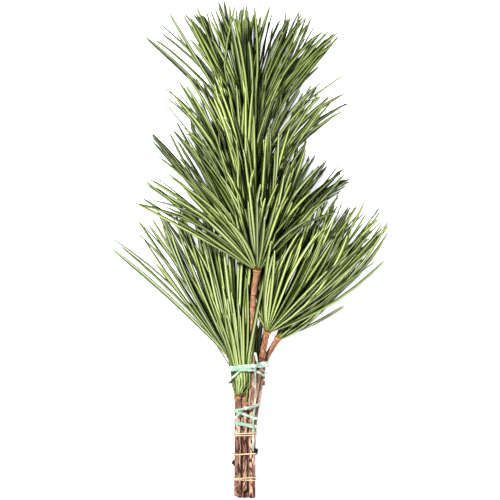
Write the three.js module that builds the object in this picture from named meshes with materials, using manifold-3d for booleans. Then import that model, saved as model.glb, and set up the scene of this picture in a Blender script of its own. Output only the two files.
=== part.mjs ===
// A tied bunch of Japanese umbrella pine branches, lying on a surface.
// Millimetres, +Z up, +Y from the cut ends towards the needle tips. The bunch rests on Z = 0. Eight cut
// branches are held by a plastic tape and three rubber bands. Each branch ends in a whorl of long, flat
// needles that open like the ribs of an umbrella, and two branches carry a second whorl lower down.
import * as THREE from "three";
import { mergeVertices } from "three/addons/utils/BufferGeometryUtils.js";
import Module from "manifold-3d";

const wasm = await Module();
wasm.setup();

// Driving sizes
const NEEDLE_WIDTH = 3.2;
const NEEDLE_THICKNESS = 1.1;
const NEEDLE_STOPS = [0, 0.14, 0.52, 1]; // shares of its length at which a needle bends
const NEEDLE_WIDTHS = [0.28, 0.46, 1, 0.34]; // of the full width there, from the root to the blunt tip
const SQUEEZED_WIDTH = 0.8; // of the full width, at the belly and the waist of a squeezed needle
const NEEDLE_SPACING = 0.25; // least air between needles of different whorls
const WHORL_CLOSENESS = 0.55; // how much closer than their widths two needles of one whorl may lie
const ROOT_SPACING = 0.7; // least distance between the centre lines of two needles' roots
const FLOOR_HEIGHT = 1.65; // lowest run of a needle's centre line: half its width above the surface
const COLLAR_RADIUS = 4.2; // of the bud-like knob that a whorl grows from, where the whorl names no other
const ROOT_DEPTH = 0.9; // how far a needle's root is sunk into the collar
const RING_RADIUS = 5.4; // of the collar that goes round a stem
const RING_ROWS = [-1.1, 1.1]; // places of its two rows of roots, along the stem
const SEAT_GAP = 0.3; // between pieces that touch
const TIE_GAP = 0.45; // between a tie and what it goes round
const STEM_SIDES = 8;
const STEM_STEP = 14; // length of bark between two rings of the stem's skin
const TAPE_THICKNESS = 0.7;
const BAND_THICKNESS = 0.9;
const BAND_WIDTH = 1.2;
const BAND_SLANT = 0.05; // by how much a band falls away from left to right

// Places along Y where the ties go round the bunch
const TAPE_NECK_Y = -93;
const TAPE_FOOT_Y = -131;
const RUBBER_BAND_Y = { upper: -146.8, middle: -162.4, lower: -182 };

// Each branch's run from its cut end to its head, and its radius at both.
const STEMS = {
  crown: {
    radius: [3.0, 2.2],
    run: [
      [-4, -198, 4.3], [-4, -150, 4.3], [-4, -100, 5.2], [-6, -50, 11.5], [-6, 0, 19], [-2, 45, 25.5],
      [0, 84, 30],
    ],
  },
  upper: {
    radius: [2.8, 2.2],
    run: [
      [-7.1, -197.5, 9.8], [-7.1, -150, 9.8], [-5, -100, 10.8], [1, -50, 18], [7, -10, 26], [4, 12, 33.5],
      [-1, 30, 42],
    ],
  },
  front: {
    radius: [2.6, 2.4],
    run: [
      [1.7, -197.5, 14.8], [1.7, -150, 14.8], [1.7, -108, 16.8], [1.6, -90, 19.4], [0.9, -72, 25],
      [1.6, -56, 31.5], [2.6, -40, 38.5], [4, -26, 45.5], [5.4, -17, 50],
    ],
  },
  right: {
    radius: [2.6, 2.6],
    run: [
      [-0.9, -197, 9.7], [-0.9, -150, 9.7], [1.9, -125, 10], [5.2, -106, 12.2], [8.4, -92, 15.2],
      [11, -78, 21], [13.4, -66, 28],
    ],
  },
  far_right: {
    radius: [2.5, 2.3],
    run: [
      [1.8, -196, 3.8], [1.8, -160, 3.8], [3, -140, 3.8], [6.2, -120, 4.4], [8.4, -106, 5.4], [10.4, -93, 8],
      [14, -84, 11], [21.4, -71.6, 16.6],
    ],
  },
  low_left: {
    radius: [2.9, 2.5],
    run: [[-9.9, -196, 15.2], [-9.9, -150, 15.2], [-10, -118.5, 16.2]],
  },
  thin: {
    radius: [2.0, 1.8],
    run: [[-4, -192, 14.3], [-4, -150, 14.3], [-3.6, -123, 16.6]],
  },
  left: {
    radius: [2.6, 2.2],
    run: [[-9.9, -197, 3.9], [-9.9, -150, 3.9], [-11.5, -105, 5], [-15.4, -86, 8.6]],
  },
};

// The whorls, in the order in which they are laid. turn and rise are the angles of the outermost needles in
// degrees: turn from +Y towards +X, rise above the surface. length is that of the leftmost, middle and
// rightmost needles, and spread what a needle may differ by. curl bends the outermost needles outwards, as
// a share of the length. A whorl with passes_at sits round its stem there, and the others sit on their
// stem's head.
const WHORLS = {
  front: { count: 58, length: [116, 116, 94], spread: 8, turn: [-60, 51], rise: [0, 50], curl: 0.02 },
  upper: { count: 50, length: [114, 100, 113], spread: 6, turn: [-35, 43], rise: [-9, 26], curl: 0.02 },
  right: { count: 50, length: [110, 114, 133], spread: 6, turn: [-6, 54], rise: [0, 32], curl: -0.06 },
  crown: { count: 54, length: [118, 103, 104], spread: 6, turn: [-43, 46], rise: [-17, 18], curl: 0.06 },
  low_left: {
    count: 22, length: [98, 102, 100], spread: 8, turn: [-13, 6], rise: [5, 15], curl: 0.05, collar: 3.6,
    belly: { centre: [-10.4, -106, 18.6], half: [4.2, 3.4] },
    waist: { centre: [-10.8, -92, 19.6], half: [4.2, 3] },
  },
  thin: {
    count: 6, length: [92, 90, 86], spread: 14, turn: [-7, 4], rise: [4, 12], curl: 0.03, collar: 2.4,
    belly: { centre: [-2.6, -106, 20.9], half: [0.6, 1] },
    waist: { centre: [-2.9, -92, 22.4], half: [0.7, 2] },
  },
  left: { count: 44, length: [125, 116, 106], spread: 6, turn: [-33, 1], rise: [-8, 21], curl: 0.28 },
  far_right: { count: 24, length: [122, 96, 66], spread: 8, turn: [36, 68], rise: [-8, 24], curl: -0.12 },
  upper_lower: {
    count: 30, length: [100, 98, 98], spread: 6, turn: [-2, 48], rise: [-16, 8], curl: 0.03,
    stem: "upper", passes_at: -10,
  },
  crown_lower: {
    count: 34, length: [118, 108, 104], spread: 6, turn: [-38, 6], rise: [-12, 12], curl: 0.03,
    stem: "crown", passes_at: 0,
  },
};

const vec = (p) => new THREE.Vector3(...p);
const clamp = (v, low, high) => Math.min(high, Math.max(low, v));
const mix = (from, to, share) => from + (to - from) * share;
const radians = THREE.MathUtils.degToRad;
const ACROSS = new THREE.Vector3(1, 0, 0);
const UP = new THREE.Vector3(0, 0, 1);

// A repeatable source of numbers from 0 to 1.
function drawFrom(seed) {
  let state = seed | 0;
  return () => {
    state = (Math.imul(state, 1664525) + 1013904223) | 0;
    return ((state ^ (state >>> 15)) >>> 0) / 4294967296;
  };
}

// Skins rings of points, all of one count, into a closed surface: a loop, or a rod with flat ends.
function loft(rings, looped = false) {
  const sides = rings[0].length;
  const points = rings.flat().flatMap((p) => [p.x, p.y, p.z]);
  const faces = [];
  const spans = looped ? rings.length : rings.length - 1;
  for (let r = 0; r < spans; r++) {
    const next = (r + 1) % rings.length;
    for (let s = 0; s < sides; s++) {
      const [a, b] = [r * sides + s, r * sides + ((s + 1) % sides)];
      const [c, d] = [next * sides + s, next * sides + ((s + 1) % sides)];
      faces.push(a, d, b, a, c, d);
    }
  }
  const last = (rings.length - 1) * sides;
  for (let s = 1; s < sides - 1 && !looped; s++) {
    faces.push(0, s, s + 1, last, last + s + 1, last + s);
  }
  const geometry = new THREE.BufferGeometry();
  geometry.setAttribute("position", new THREE.Float32BufferAttribute(points, 3));
  geometry.setIndex(faces);
  return geometry;
}

function solidOf(geometry) {
  const bare = geometry.clone();
  bare.deleteAttribute("normal");
  bare.deleteAttribute("uv");
  const merged = mergeVertices(bare, 1e-4);
  const mesh = new wasm.Mesh({
    numProp: 3,
    vertProperties: merged.attributes.position.array,
    triVerts: new Uint32Array(merged.index.array),
  });
  return new wasm.Manifold(mesh);
}

function geometryOf(solid) {
  const mesh = solid.getMesh();
  const geometry = new THREE.BufferGeometry();
  geometry.setAttribute("position", new THREE.BufferAttribute(mesh.vertProperties, 3));
  geometry.setIndex(new THREE.BufferAttribute(mesh.triVerts, 1));
  return geometry;
}

const fused = (geometries) => wasm.Manifold.union(geometries.map(solidOf));

// The main body of a solid: pockets that fusing has sealed are filled, and scraps that it has cut loose are
// dropped.
function mainBody(solid) {
  return solid.decompose().reduce((main, body) => (body.volume() > main.volume() ? body : main));
}

// Turns a geometry that stands along +Y to a direction, and moves it to a place.
function placed(geometry, place, direction) {
  geometry.applyQuaternion(new THREE.Quaternion().setFromUnitVectors(new THREE.Vector3(0, 1, 0), direction));
  return geometry.translate(place.x, place.y, place.z);
}

// Two unit vectors square to a direction: the first lies as near to a wanted one as it can.
function squareTo(direction, wanted) {
  const first = wanted.clone().addScaledVector(direction, -wanted.dot(direction)).normalize();
  return [first, new THREE.Vector3().crossVectors(first, direction)];
}

// Stems: uneven rods that taper from the cut end, with short stubs where side twigs have gone.
const curves = {};
for (const [name, stem] of Object.entries(STEMS)) {
  curves[name] = new THREE.CatmullRomCurve3(stem.run.map(vec), false, "centripetal");
}

const stemRadius = (name, share) => mix(STEMS[name].radius[0], STEMS[name].radius[1], share);

// How far along a stem, as a share of its length, it passes a place on Y.
function shareAtY(name, y) {
  let [low, high] = [0, 1];
  for (let halving = 0; halving < 24; halving++) {
    const middle = (low + high) / 2;
    if (curves[name].getPointAt(middle).y < y) low = middle;
    else high = middle;
  }
  return (low + high) / 2;
}

function stemGeometry(name, seed) {
  const curve = curves[name];
  const steps = Math.ceil(curve.getLength() / STEM_STEP);
  const draw = drawFrom(seed);
  const rings = [];
  for (let i = 0; i <= steps; i++) {
    const centre = curve.getPointAt(i / steps);
    const [across, up] = squareTo(curve.getTangentAt(i / steps), ACROSS);
    const reach = stemRadius(name, i / steps) * (1 - 0.1 * draw());
    const ring = [];
    for (let s = 0; s < STEM_SIDES; s++) {
      const angle = (2 * Math.PI * s) / STEM_SIDES;
      const uneven = reach * (1 - 0.05 * draw());
      const point = centre.clone().addScaledVector(across, uneven * Math.cos(angle));
      ring.push(point.addScaledVector(up, uneven * Math.sin(angle)));
    }
    rings.push(ring);
  }
  return loft(rings);
}

const STUB = { length: 4.6, radius: [1.5, 0.9], sides: 6 };
const STUBS = [
  { stem: "front", y: -160, out: [1, -0.1, 0.25] },
  { stem: "low_left", y: -169.6, out: [-1, 0.2, 0.1] },
  { stem: "far_right", y: -111, out: [0.9, 0.3, 0.2] },
];

function stubGeometry({ stem, y, out }) {
  const geometry = new THREE.CylinderGeometry(STUB.radius[1], STUB.radius[0], STUB.length, STUB.sides);
  geometry.translate(0, STUB.length / 2, 0);
  return placed(geometry, curves[stem].getPointAt(shareAtY(stem, y)), vec(out).normalize());
}

// Straight pieces, each with a radius, that a new needle keeps clear of.
const laid = [];

function lay(points, radii, owner) {
  for (let i = 0; i + 1 < points.length; i++) {
    const radius = Math.max(radii[i], radii[i + 1]);
    laid.push({ from: points[i], to: points[i + 1], radius, owner, order: i });
  }
}

// The least distance between the straight pieces ab and cd.
function distanceBetween(a, b, c, d) {
  const [u, v, w] = [b.clone().sub(a), d.clone().sub(c), a.clone().sub(c)];
  const [uu, vv, uv, uw, vw] = [u.dot(u), v.dot(v), u.dot(v), u.dot(w), v.dot(w)];
  const square = uu * vv - uv * uv;
  let s = square > 1e-9 ? clamp((uv * vw - uw * vv) / square, 0, 1) : 0;
  const t = (uv * s + vw) / vv;
  if (t < 0) s = clamp(-uw / uu, 0, 1);
  if (t > 1) s = clamp((uv - uw) / uu, 0, 1);
  return w.addScaledVector(u, s).addScaledVector(v, -clamp(t, 0, 1)).length();
}

// Whether a needle's course misses all that is laid, but for the collar that it grows from. It may lie
// closer to needles of its own whorl, and closer still at their roots.
function isClear(points, radii, owner, first) {
  for (let i = first; i + 1 < points.length; i++) {
    const radius = Math.max(radii[i], radii[i + 1]);
    for (const other of laid) {
      if (other.owner === `${owner} collar`) continue;
      const own = other.owner === owner;
      const rooted = own && i === first && other.order <= first;
      const apart = own ? (radius + other.radius) * WHORL_CLOSENESS : radius + other.radius + NEEDLE_SPACING;
      const least = rooted ? ROOT_SPACING : apart;
      if (distanceBetween(points[i], points[i + 1], other.from, other.to) < least) return false;
    }
  }
  return true;
}

// Where a whorl sits: the middle of its collar's foot, and the way its stem runs there.
function whorlSeat(name) {
  const whorl = WHORLS[name];
  const curve = curves[whorl.stem ?? name];
  const share = whorl.stem ? shareAtY(whorl.stem, whorl.passes_at) : 1;
  return { centre: curve.getPointAt(share), axis: curve.getTangentAt(share), ringed: Boolean(whorl.stem) };
}

const collarRadius = (name) => (WHORLS[name].stem ? RING_RADIUS : WHORLS[name].collar ?? COLLAR_RADIUS);

// Neighbouring needles of a whorl are this turn apart
const GOLDEN_TURN = Math.PI * (3 - Math.sqrt(5));
const ROOT_SPREAD = radians(82); // of the dome of roots, from the stem's axis
const MOST_TRIES = 120;
const LOOSE = { least: 5, most: 24, step: 0.2 }; // degrees a needle may be turned by, more with each try
const STEEP = 25; // degrees of rise from which needles are shorter

// One needle's course, from its root in the collar. Needles are spread like the seeds of a sunflower, so
// that they are even on all sides, and each keeps its own small bend.
function needleCourse(name, seat, place, loosened, draw) {
  const whorl = WHORLS[name];
  const around = place * GOLDEN_TURN;
  const inner = seat.ringed ? 0.3 : 0;
  const out = Math.sqrt(inner + ((1 - inner) * (place + 0.5)) / whorl.count);
  const [aside, above] = [out * Math.cos(around), out * Math.sin(around)];
  const jitter = () => (draw() - 0.5) * loosened;
  const turn = mix(whorl.turn[0], whorl.turn[1], (aside + 1) / 2) + jitter();
  let rise = mix(whorl.rise[0], whorl.rise[1], (above + 1) / 2) + jitter();
  const shorter = 1 - clamp((rise - STEEP) / 60, 0, 0.3);
  const full = mix(whorl.length[1], whorl.length[aside < 0 ? 0 : 2], Math.abs(aside));
  const length = full * shorter + (draw() - 0.5) * 2 * whorl.spread;
  const bend = whorl.curl * aside * Math.abs(aside) + (draw() - 0.5) * 0.08;
  const sag = 0.03 + 0.04 * draw();
  const roll = (draw() - 0.5) * 1.3;

  const [across, up] = squareTo(seat.axis, ACROSS);
  const reach = collarRadius(name) - ROOT_DEPTH;
  const polar = seat.ringed ? Math.PI / 2 : out * ROOT_SPREAD;
  const height = seat.ringed ? RING_ROWS[place % 2] : collarRadius(name) * 0.6 + reach * Math.cos(polar);
  const root = seat.centre.clone().addScaledVector(seat.axis, height);
  root.addScaledVector(across, reach * Math.sin(polar) * Math.cos(around));
  root.addScaledVector(up, reach * Math.sin(polar) * Math.sin(around));

  const points = [];
  let start = root;
  if (whorl.waist) {
    const through = ({ centre, half }) => vec(centre).add(vec([half[0] * aside, 0, half[1] * above]));
    points.push(root, through(whorl.belly));
    start = through(whorl.waist);
  }
  const lowest = -Math.asin(clamp((start.z - FLOOR_HEIGHT) / length - sag, 0, 1));
  rise = Math.max(radians(rise), lowest);
  const level = Math.cos(rise);
  const [ahead, sideways] = [vec([0, 1, 0]), vec([1, 0, 0])].map((v) => v.applyAxisAngle(UP, -radians(turn)));
  const way = ahead.multiplyScalar(level).addScaledVector(UP, Math.sin(rise));
  for (const s of NEEDLE_STOPS) {
    const point = start.clone().addScaledVector(way, length * s);
    point.addScaledVector(sideways, length * bend * s * s);
    points.push(point.addScaledVector(UP, -length * sag * s * s));
  }
  const outward = way.clone().addScaledVector(seat.axis, -way.dot(seat.axis)).addScaledVector(UP, 0.3);
  const face = squareTo(way, outward)[0].applyAxisAngle(way, roll);
  return { points, face };
}

// A needle's half widths at the points of its course. A squeezed one has its full course behind its belly
// and waist.
function halfWidths(points) {
  const [root, ...others] = NEEDLE_WIDTHS;
  const squeezed = points.length > NEEDLE_STOPS.length ? [SQUEEZED_WIDTH, SQUEEZED_WIDTH] : [];
  return [root, ...squeezed, ...others].map((share) => (share * NEEDLE_WIDTH) / 2);
}

// A three-sided blade along a course: flat behind, with a low ridge on its face.
function needleGeometry({ points, face }) {
  const halves = halfWidths(points);
  const rings = points.map((point, i) => {
    const [before, after] = [points[Math.max(i - 1, 0)], points[Math.min(i + 1, points.length - 1)]];
    const [normal, side] = squareTo(after.clone().sub(before).normalize(), face);
    const half = halves[i];
    const back = point.clone().addScaledVector(normal, -0.4 * NEEDLE_THICKNESS);
    return [
      point.clone().addScaledVector(normal, 0.6 * NEEDLE_THICKNESS),
      back.clone().addScaledVector(side, half),
      back.clone().addScaledVector(side, -half),
    ];
  });
  return loft(rings);
}

// The collar that the needles grow from: a bud-like knob on a stem's head, or a ring round a stem. Each
// profile is in shares of the collar's radius, out from the stem's axis and along it.
function collarGeometry(name, seat) {
  const radius = collarRadius(name);
  const ring = [[0, -0.63], [0.8, -0.56], [1, 0], [0.8, 0.56], [0, 0.63]];
  const knob = [[0, 0.08], [0.6, 0.08], [1, 0.6], [0.8, 1.2], [0, 1.7]];
  const profile = (seat.ringed ? ring : knob).map(([x, y]) => new THREE.Vector2(x * radius, y * radius));
  return placed(new THREE.LatheGeometry(profile, STEM_SIDES), seat.centre, seat.axis);
}

// The hole through a ringed collar, in which the stem runs on.
function collarBore(name, seat) {
  const radius = STEMS[WHORLS[name].stem].radius[0] + SEAT_GAP;
  return placed(new THREE.CylinderGeometry(radius, radius, 4 * RING_RADIUS, 12), seat.centre, seat.axis);
}

// Lays the needles of all whorls, one after another. A needle that would run into something is turned a
// little until it is clear, and is left out if it never is.
function layWhorls() {
  const whorls = {};
  for (const name of Object.keys(STEMS)) {
    const points = curves[name].getSpacedPoints(16);
    lay(points, points.map((_, i) => stemRadius(name, i / 16)), name);
  }
  for (const name of Object.keys(WHORLS)) {
    const seat = whorlSeat(name);
    const radius = collarRadius(name);
    const core = seat.ringed ? [-1, 1] : [radius * 0.4, radius];
    const ends = core.map((along) => seat.centre.clone().addScaledVector(seat.axis, along));
    lay(ends, [radius, radius], `${name} collar`);
    whorls[name] = { seat, courses: [] };
  }
  Object.entries(WHORLS).forEach(([name, whorl], order) => {
    const first = whorl.waist ? 2 : 0;
    for (let place = 0; place < whorl.count; place++) {
      const draw = drawFrom(1000 * (order + 1) + place);
      for (let tries = 0; tries < MOST_TRIES; tries++) {
        const loosened = Math.min(LOOSE.least + tries * LOOSE.step, LOOSE.most);
        const course = needleCourse(name, whorls[name].seat, place, loosened, draw);
        const radii = halfWidths(course.points);
        if (course.points.some((p) => p.z < FLOOR_HEIGHT)) continue;
        if (!isClear(course.points, radii, name, first)) continue;
        lay(course.points, radii, name);
        whorls[name].courses.push(course);
        break;
      }
    }
  });
  return whorls;
}

// What a tie goes round at a place along Y, as discs across the bunch: the stems there, and the needles of
// the two whorls that it squeezes, from their collars to just past their waists.
function discsAt(y) {
  const discs = [];
  for (const name of Object.keys(STEMS)) {
    if (y < curves[name].getPointAt(0).y || y > curves[name].getPointAt(1).y) continue;
    const share = shareAtY(name, y);
    const { x, z } = curves[name].getPointAt(share);
    discs.push({ x, z, radius: stemRadius(name, share) / curves[name].getTangentAt(share).y });
  }
  for (const { belly, waist } of Object.values(WHORLS).filter((whorl) => whorl.waist)) {
    const share = (y - belly.centre[1]) / (waist.centre[1] - belly.centre[1]);
    if (share < -0.9 || share > 1.3) continue;
    const at = (from, to) => mix(from, to, clamp(share, 0, 1));
    const [x, z] = [at(belly.centre[0], waist.centre[0]), at(belly.centre[2], waist.centre[2])];
    const [wide, high] = [at(belly.half[0], waist.half[0]), at(belly.half[1], waist.half[1])];
    const radius = high + NEEDLE_WIDTH / 2 + 0.3;
    const shift = Math.max(wide - high, 0);
    discs.push({ x: x - shift, z, radius }, { x: x + shift, z, radius });
  }
  return discs;
}

// The disc that reaches furthest along a direction across the bunch.
function furthest(discs, nx, nz) {
  const reach = (disc) => disc.x * nx + disc.z * nz + disc.radius;
  return discs.reduce((far, disc) => (reach(disc) > reach(far) ? disc : far));
}

const TIE_STEPS = 20;
const RESTING = 1.1; // what of a tie would hang lower than this lies flat on the surface

// A tie drawn tight round the bunch: a closed strap whose place along Y is course(x, is it on top).
function strapGeometry({ course, width, thickness, over = [] }) {
  const rings = [];
  for (let i = 0; i < TIE_STEPS; i++) {
    const angle = (2 * Math.PI * (i + 0.5)) / TIE_STEPS;
    const [nx, nz] = [Math.cos(angle), Math.sin(angle)];
    let disc;
    let y = course(0, nz > 0);
    for (let round = 0; round < 4; round++) {
      disc = furthest([-0.5, 0, 0.5].flatMap((along) => discsAt(y + along * width)).concat(over), nx, nz);
      y = course(disc.x + nx * disc.radius, nz > 0);
    }
    const inner = disc.radius + TIE_GAP;
    const corner = (reach, along) => {
      const z = disc.z + nz * reach;
      return new THREE.Vector3(disc.x + nx * reach, y + along, reach > inner && z < RESTING ? 0 : z);
    };
    rings.push([
      corner(inner, -width / 2), corner(inner, width / 2),
      corner(inner + thickness, width / 2), corner(inner + thickness, -width / 2),
    ]);
  }
  return loft(rings, true);
}

// The place on top of the bunch above x and y, where a strand of tape lies, and the way out of the bunch
// there.
function onTop(x, y) {
  const discs = discsAt(y);
  let best = { z: Infinity };
  for (let degrees = 20; degrees <= 160; degrees += 2) {
    const [nx, nz] = [Math.cos(radians(degrees)), Math.sin(radians(degrees))];
    const disc = furthest(discs, nx, nz);
    const z = (disc.x * nx + disc.z * nz + disc.radius + TIE_GAP - nx * x) / nz;
    if (z < best.z) best = { z, normal: new THREE.Vector3(nx, 0, nz) };
  }
  return { point: new THREE.Vector3(x, y, best.z), normal: best.normal };
}

// A strand of tape that lies along the top of the bunch, from one place to another.
function strandGeometry({ from, to, width }) {
  const steps = Math.ceil(Math.hypot(to[0] - from[0], to[1] - from[1]) / 5);
  const rings = [];
  const along = new THREE.Vector3(to[0] - from[0], to[1] - from[1], 0).normalize();
  for (let i = 0; i <= steps; i++) {
    const { point, normal } = onTop(mix(from[0], to[0], i / steps), mix(from[1], to[1], i / steps));
    const side = new THREE.Vector3().crossVectors(along, normal).normalize();
    rings.push([[-0.5, 0], [0.5, 0], [0.5, 1], [-0.5, 1]].map(([aside, out]) =>
      point.clone().addScaledVector(side, aside * width).addScaledVector(normal, out * TAPE_THICKNESS)));
  }
  return loft(rings);
}

// The tape: wraps round the neck and the foot of the bunch, joined by one long strand down its front.
const slanted = (y, slope) => (x) => y + slope * (x + 4);
const NECK_CROSSING = { y: TAPE_NECK_Y - 3.6, left: -7, right: 2, slopes: [0.85, 0.5] };
const NECK_EDGES = [-17.5, 13.5]; // of the bunch across X, at the neck
const STRAND = { from: [3.2, TAPE_NECK_Y - 1], to: [2.4, RUBBER_BAND_Y.middle + 3], width: 2.4 };
const SHORT_STRANDS = [
  { from: [4, TAPE_NECK_Y + 11.4], to: [10.4, TAPE_NECK_Y - 6.4], width: 2.4 },
  { from: [-5.5, TAPE_FOOT_Y + 3.2], to: [-11.8, TAPE_FOOT_Y - 5.6], width: 2.2 },
];

// The course of the wrap that falls away on both sides of the neck, and runs straight across behind.
function neckCrossing(x, top) {
  const { y, left, right, slopes } = NECK_CROSSING;
  const fall = (at) => y - slopes[0] * Math.max(0, left - at) - slopes[1] * Math.max(0, at - right);
  const [start, end] = NECK_EDGES;
  return top ? fall(x) : mix(fall(start), fall(end), clamp((x - start) / (end - start), 0, 1));
}

function tapeSolid() {
  const thickness = TAPE_THICKNESS;
  return fused([
    strapGeometry({ course: slanted(TAPE_NECK_Y, 0.13), width: 5.4, thickness }),
    strapGeometry({ course: neckCrossing, width: 2.4, thickness }),
    strapGeometry({ course: slanted(TAPE_FOOT_Y + 5.2, 0.25), width: 2.6, thickness }),
    strapGeometry({ course: slanted(TAPE_FOOT_Y, -0.36), width: 2.6, thickness }),
    strapGeometry({ course: slanted(TAPE_FOOT_Y - 8, -0.2), width: 3.4, thickness }),
    ...[STRAND, ...SHORT_STRANDS].map(strandGeometry),
  ]);
}

const material = (color, roughness) => new THREE.MeshStandardMaterial({ color, roughness, metalness: 0 });
const bark = material(0x9c7152, 0.85);
const leaf = material(0x6f8c36, 0.42);
const mint = material(0xa6e0c4, 0.35);
const rubber = material(0xd9b98c, 0.6);

const bunch = new THREE.Group();

function add(name, solid, look) {
  const mesh = new THREE.Mesh(geometryOf(mainBody(solid)), look);
  mesh.name = name;
  bunch.add(mesh);
}

Object.keys(STEMS).forEach((name, index) => {
  const stubs = STUBS.filter((stub) => stub.stem === name).map(stubGeometry);
  add(`stem_${name}`, fused([stemGeometry(name, index + 1), ...stubs]), bark);
});

for (const [name, { seat, courses }] of Object.entries(layWhorls())) {
  const solid = fused([collarGeometry(name, seat), ...courses.map(needleGeometry)]);
  add(`needles_${name}`, seat.ringed ? solid.subtract(solidOf(collarBore(name, seat))) : solid, leaf);
}

add("binding_tape", tapeSolid(), mint);

for (const [name, y] of Object.entries(RUBBER_BAND_Y)) {
  const { point, normal } = onTop(STRAND.to[0], y);
  const strand = point.addScaledVector(normal, TAPE_THICKNESS / 2);
  const over = y > STRAND.to[1] ? [{ x: strand.x, z: strand.z, radius: STRAND.width / 2 + 0.1 }] : [];
  const course = slanted(y, BAND_SLANT);
  const band = strapGeometry({ course, width: BAND_WIDTH, thickness: BAND_THICKNESS, over });
  add(`rubber_band_${name}`, solidOf(band), rubber);
}

export default bunch;
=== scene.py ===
"""A tied bunch of Japanese umbrella pine branches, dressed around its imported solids.

Metres, in the frame of the solids: the bunch lies on Z = 0, and +Y runs from the cut ends to the needle
tips. The rules that place stems, needles and ties work in millimetres, and each mesh is brought to metres
at its end.
"""

from __future__ import annotations

import logging
import math
from dataclasses import dataclass, field
from enum import Enum

import bmesh
import bpy
import numpy as np
from mathutils import Matrix, Vector, noise

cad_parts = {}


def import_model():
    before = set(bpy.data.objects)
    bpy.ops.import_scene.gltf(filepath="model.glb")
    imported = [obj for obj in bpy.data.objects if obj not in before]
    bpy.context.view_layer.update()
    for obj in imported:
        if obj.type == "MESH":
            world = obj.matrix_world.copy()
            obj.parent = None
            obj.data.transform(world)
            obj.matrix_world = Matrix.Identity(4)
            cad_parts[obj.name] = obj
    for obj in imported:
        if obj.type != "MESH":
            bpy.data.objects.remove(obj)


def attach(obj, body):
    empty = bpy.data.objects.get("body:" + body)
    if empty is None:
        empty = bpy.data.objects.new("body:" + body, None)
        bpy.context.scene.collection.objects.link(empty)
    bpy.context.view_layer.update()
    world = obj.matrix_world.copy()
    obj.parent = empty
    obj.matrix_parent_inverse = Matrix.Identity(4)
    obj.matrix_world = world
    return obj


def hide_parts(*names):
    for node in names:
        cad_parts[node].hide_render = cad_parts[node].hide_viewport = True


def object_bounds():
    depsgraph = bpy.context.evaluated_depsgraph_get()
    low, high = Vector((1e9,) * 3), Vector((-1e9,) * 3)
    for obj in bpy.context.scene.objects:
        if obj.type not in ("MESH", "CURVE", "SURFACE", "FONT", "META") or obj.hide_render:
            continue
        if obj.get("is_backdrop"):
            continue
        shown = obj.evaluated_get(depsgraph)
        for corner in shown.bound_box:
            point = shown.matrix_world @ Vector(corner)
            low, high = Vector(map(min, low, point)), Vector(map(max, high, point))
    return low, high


log = logging.getLogger("bunch")

MM = 0.001
WELD = 1e-6
ACROSS = np.array([1.0, 0.0, 0.0])
UP = np.array([0.0, 0.0, 1.0])
ROOT = "root"

Point = tuple[float, float, float]
Colour = tuple[float, float, float]
Disc = tuple[float, float, float]
Section = list[tuple[float, float]]
Pairs = tuple[tuple[float, float], ...]

EVEN: Point = (1.0, 1.0, 1.0)


# Small helpers


def unit(v: np.ndarray) -> np.ndarray:
    """Returns a vector, or each row of an array of them, brought to length one."""
    return v / np.linalg.norm(v, axis=-1, keepdims=True)


def mix(low: float, high: float, share: float) -> float:
    """Returns the number that lies at a share of the way from low to high."""
    return low + (high - low) * share


def clamp(value: float, low: float, high: float) -> float:
    """Returns the value, kept between low and high."""
    return min(high, max(low, value))


def square_to(direction: np.ndarray, wanted: np.ndarray) -> tuple[np.ndarray, np.ndarray]:
    """Finds two unit vectors square to a direction.

    Args:
        direction: A unit vector, or an array of them.
        wanted: What the first vector should lie near.

    Returns:
        The first vector, and the one square to both.
    """
    along = np.sum(direction * wanted, axis=-1, keepdims=True)
    first = unit(wanted - direction * along)
    return first, np.cross(first, direction)


def turned(v: np.ndarray, axis: np.ndarray, angle: float) -> np.ndarray:
    """Turns a vector about a unit axis.

    Args:
        v: The vector.
        axis: The axis.
        angle: The angle, in radians.

    Returns:
        The turned vector.
    """
    return (
        v * math.cos(angle)
        + np.cross(axis, v) * math.sin(angle)
        + axis * np.dot(axis, v) * (1 - math.cos(angle))
    )


class Draws:
    """A repeatable source of numbers from 0 to 1, the same as the one that laid the solids."""

    def __init__(self, seed: int) -> None:
        """Starts the source at a seed."""
        self.state = seed & 0xFFFFFFFF

    def __call__(self) -> float:
        """Returns the next number."""
        self.state = (self.state * 1664525 + 1013904223) & 0xFFFFFFFF
        return (self.state ^ (self.state >> 15)) / 4294967296

    def around(self, reach: float) -> float:
        """Returns a number between minus and plus the reach."""
        return (self() * 2 - 1) * reach


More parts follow.
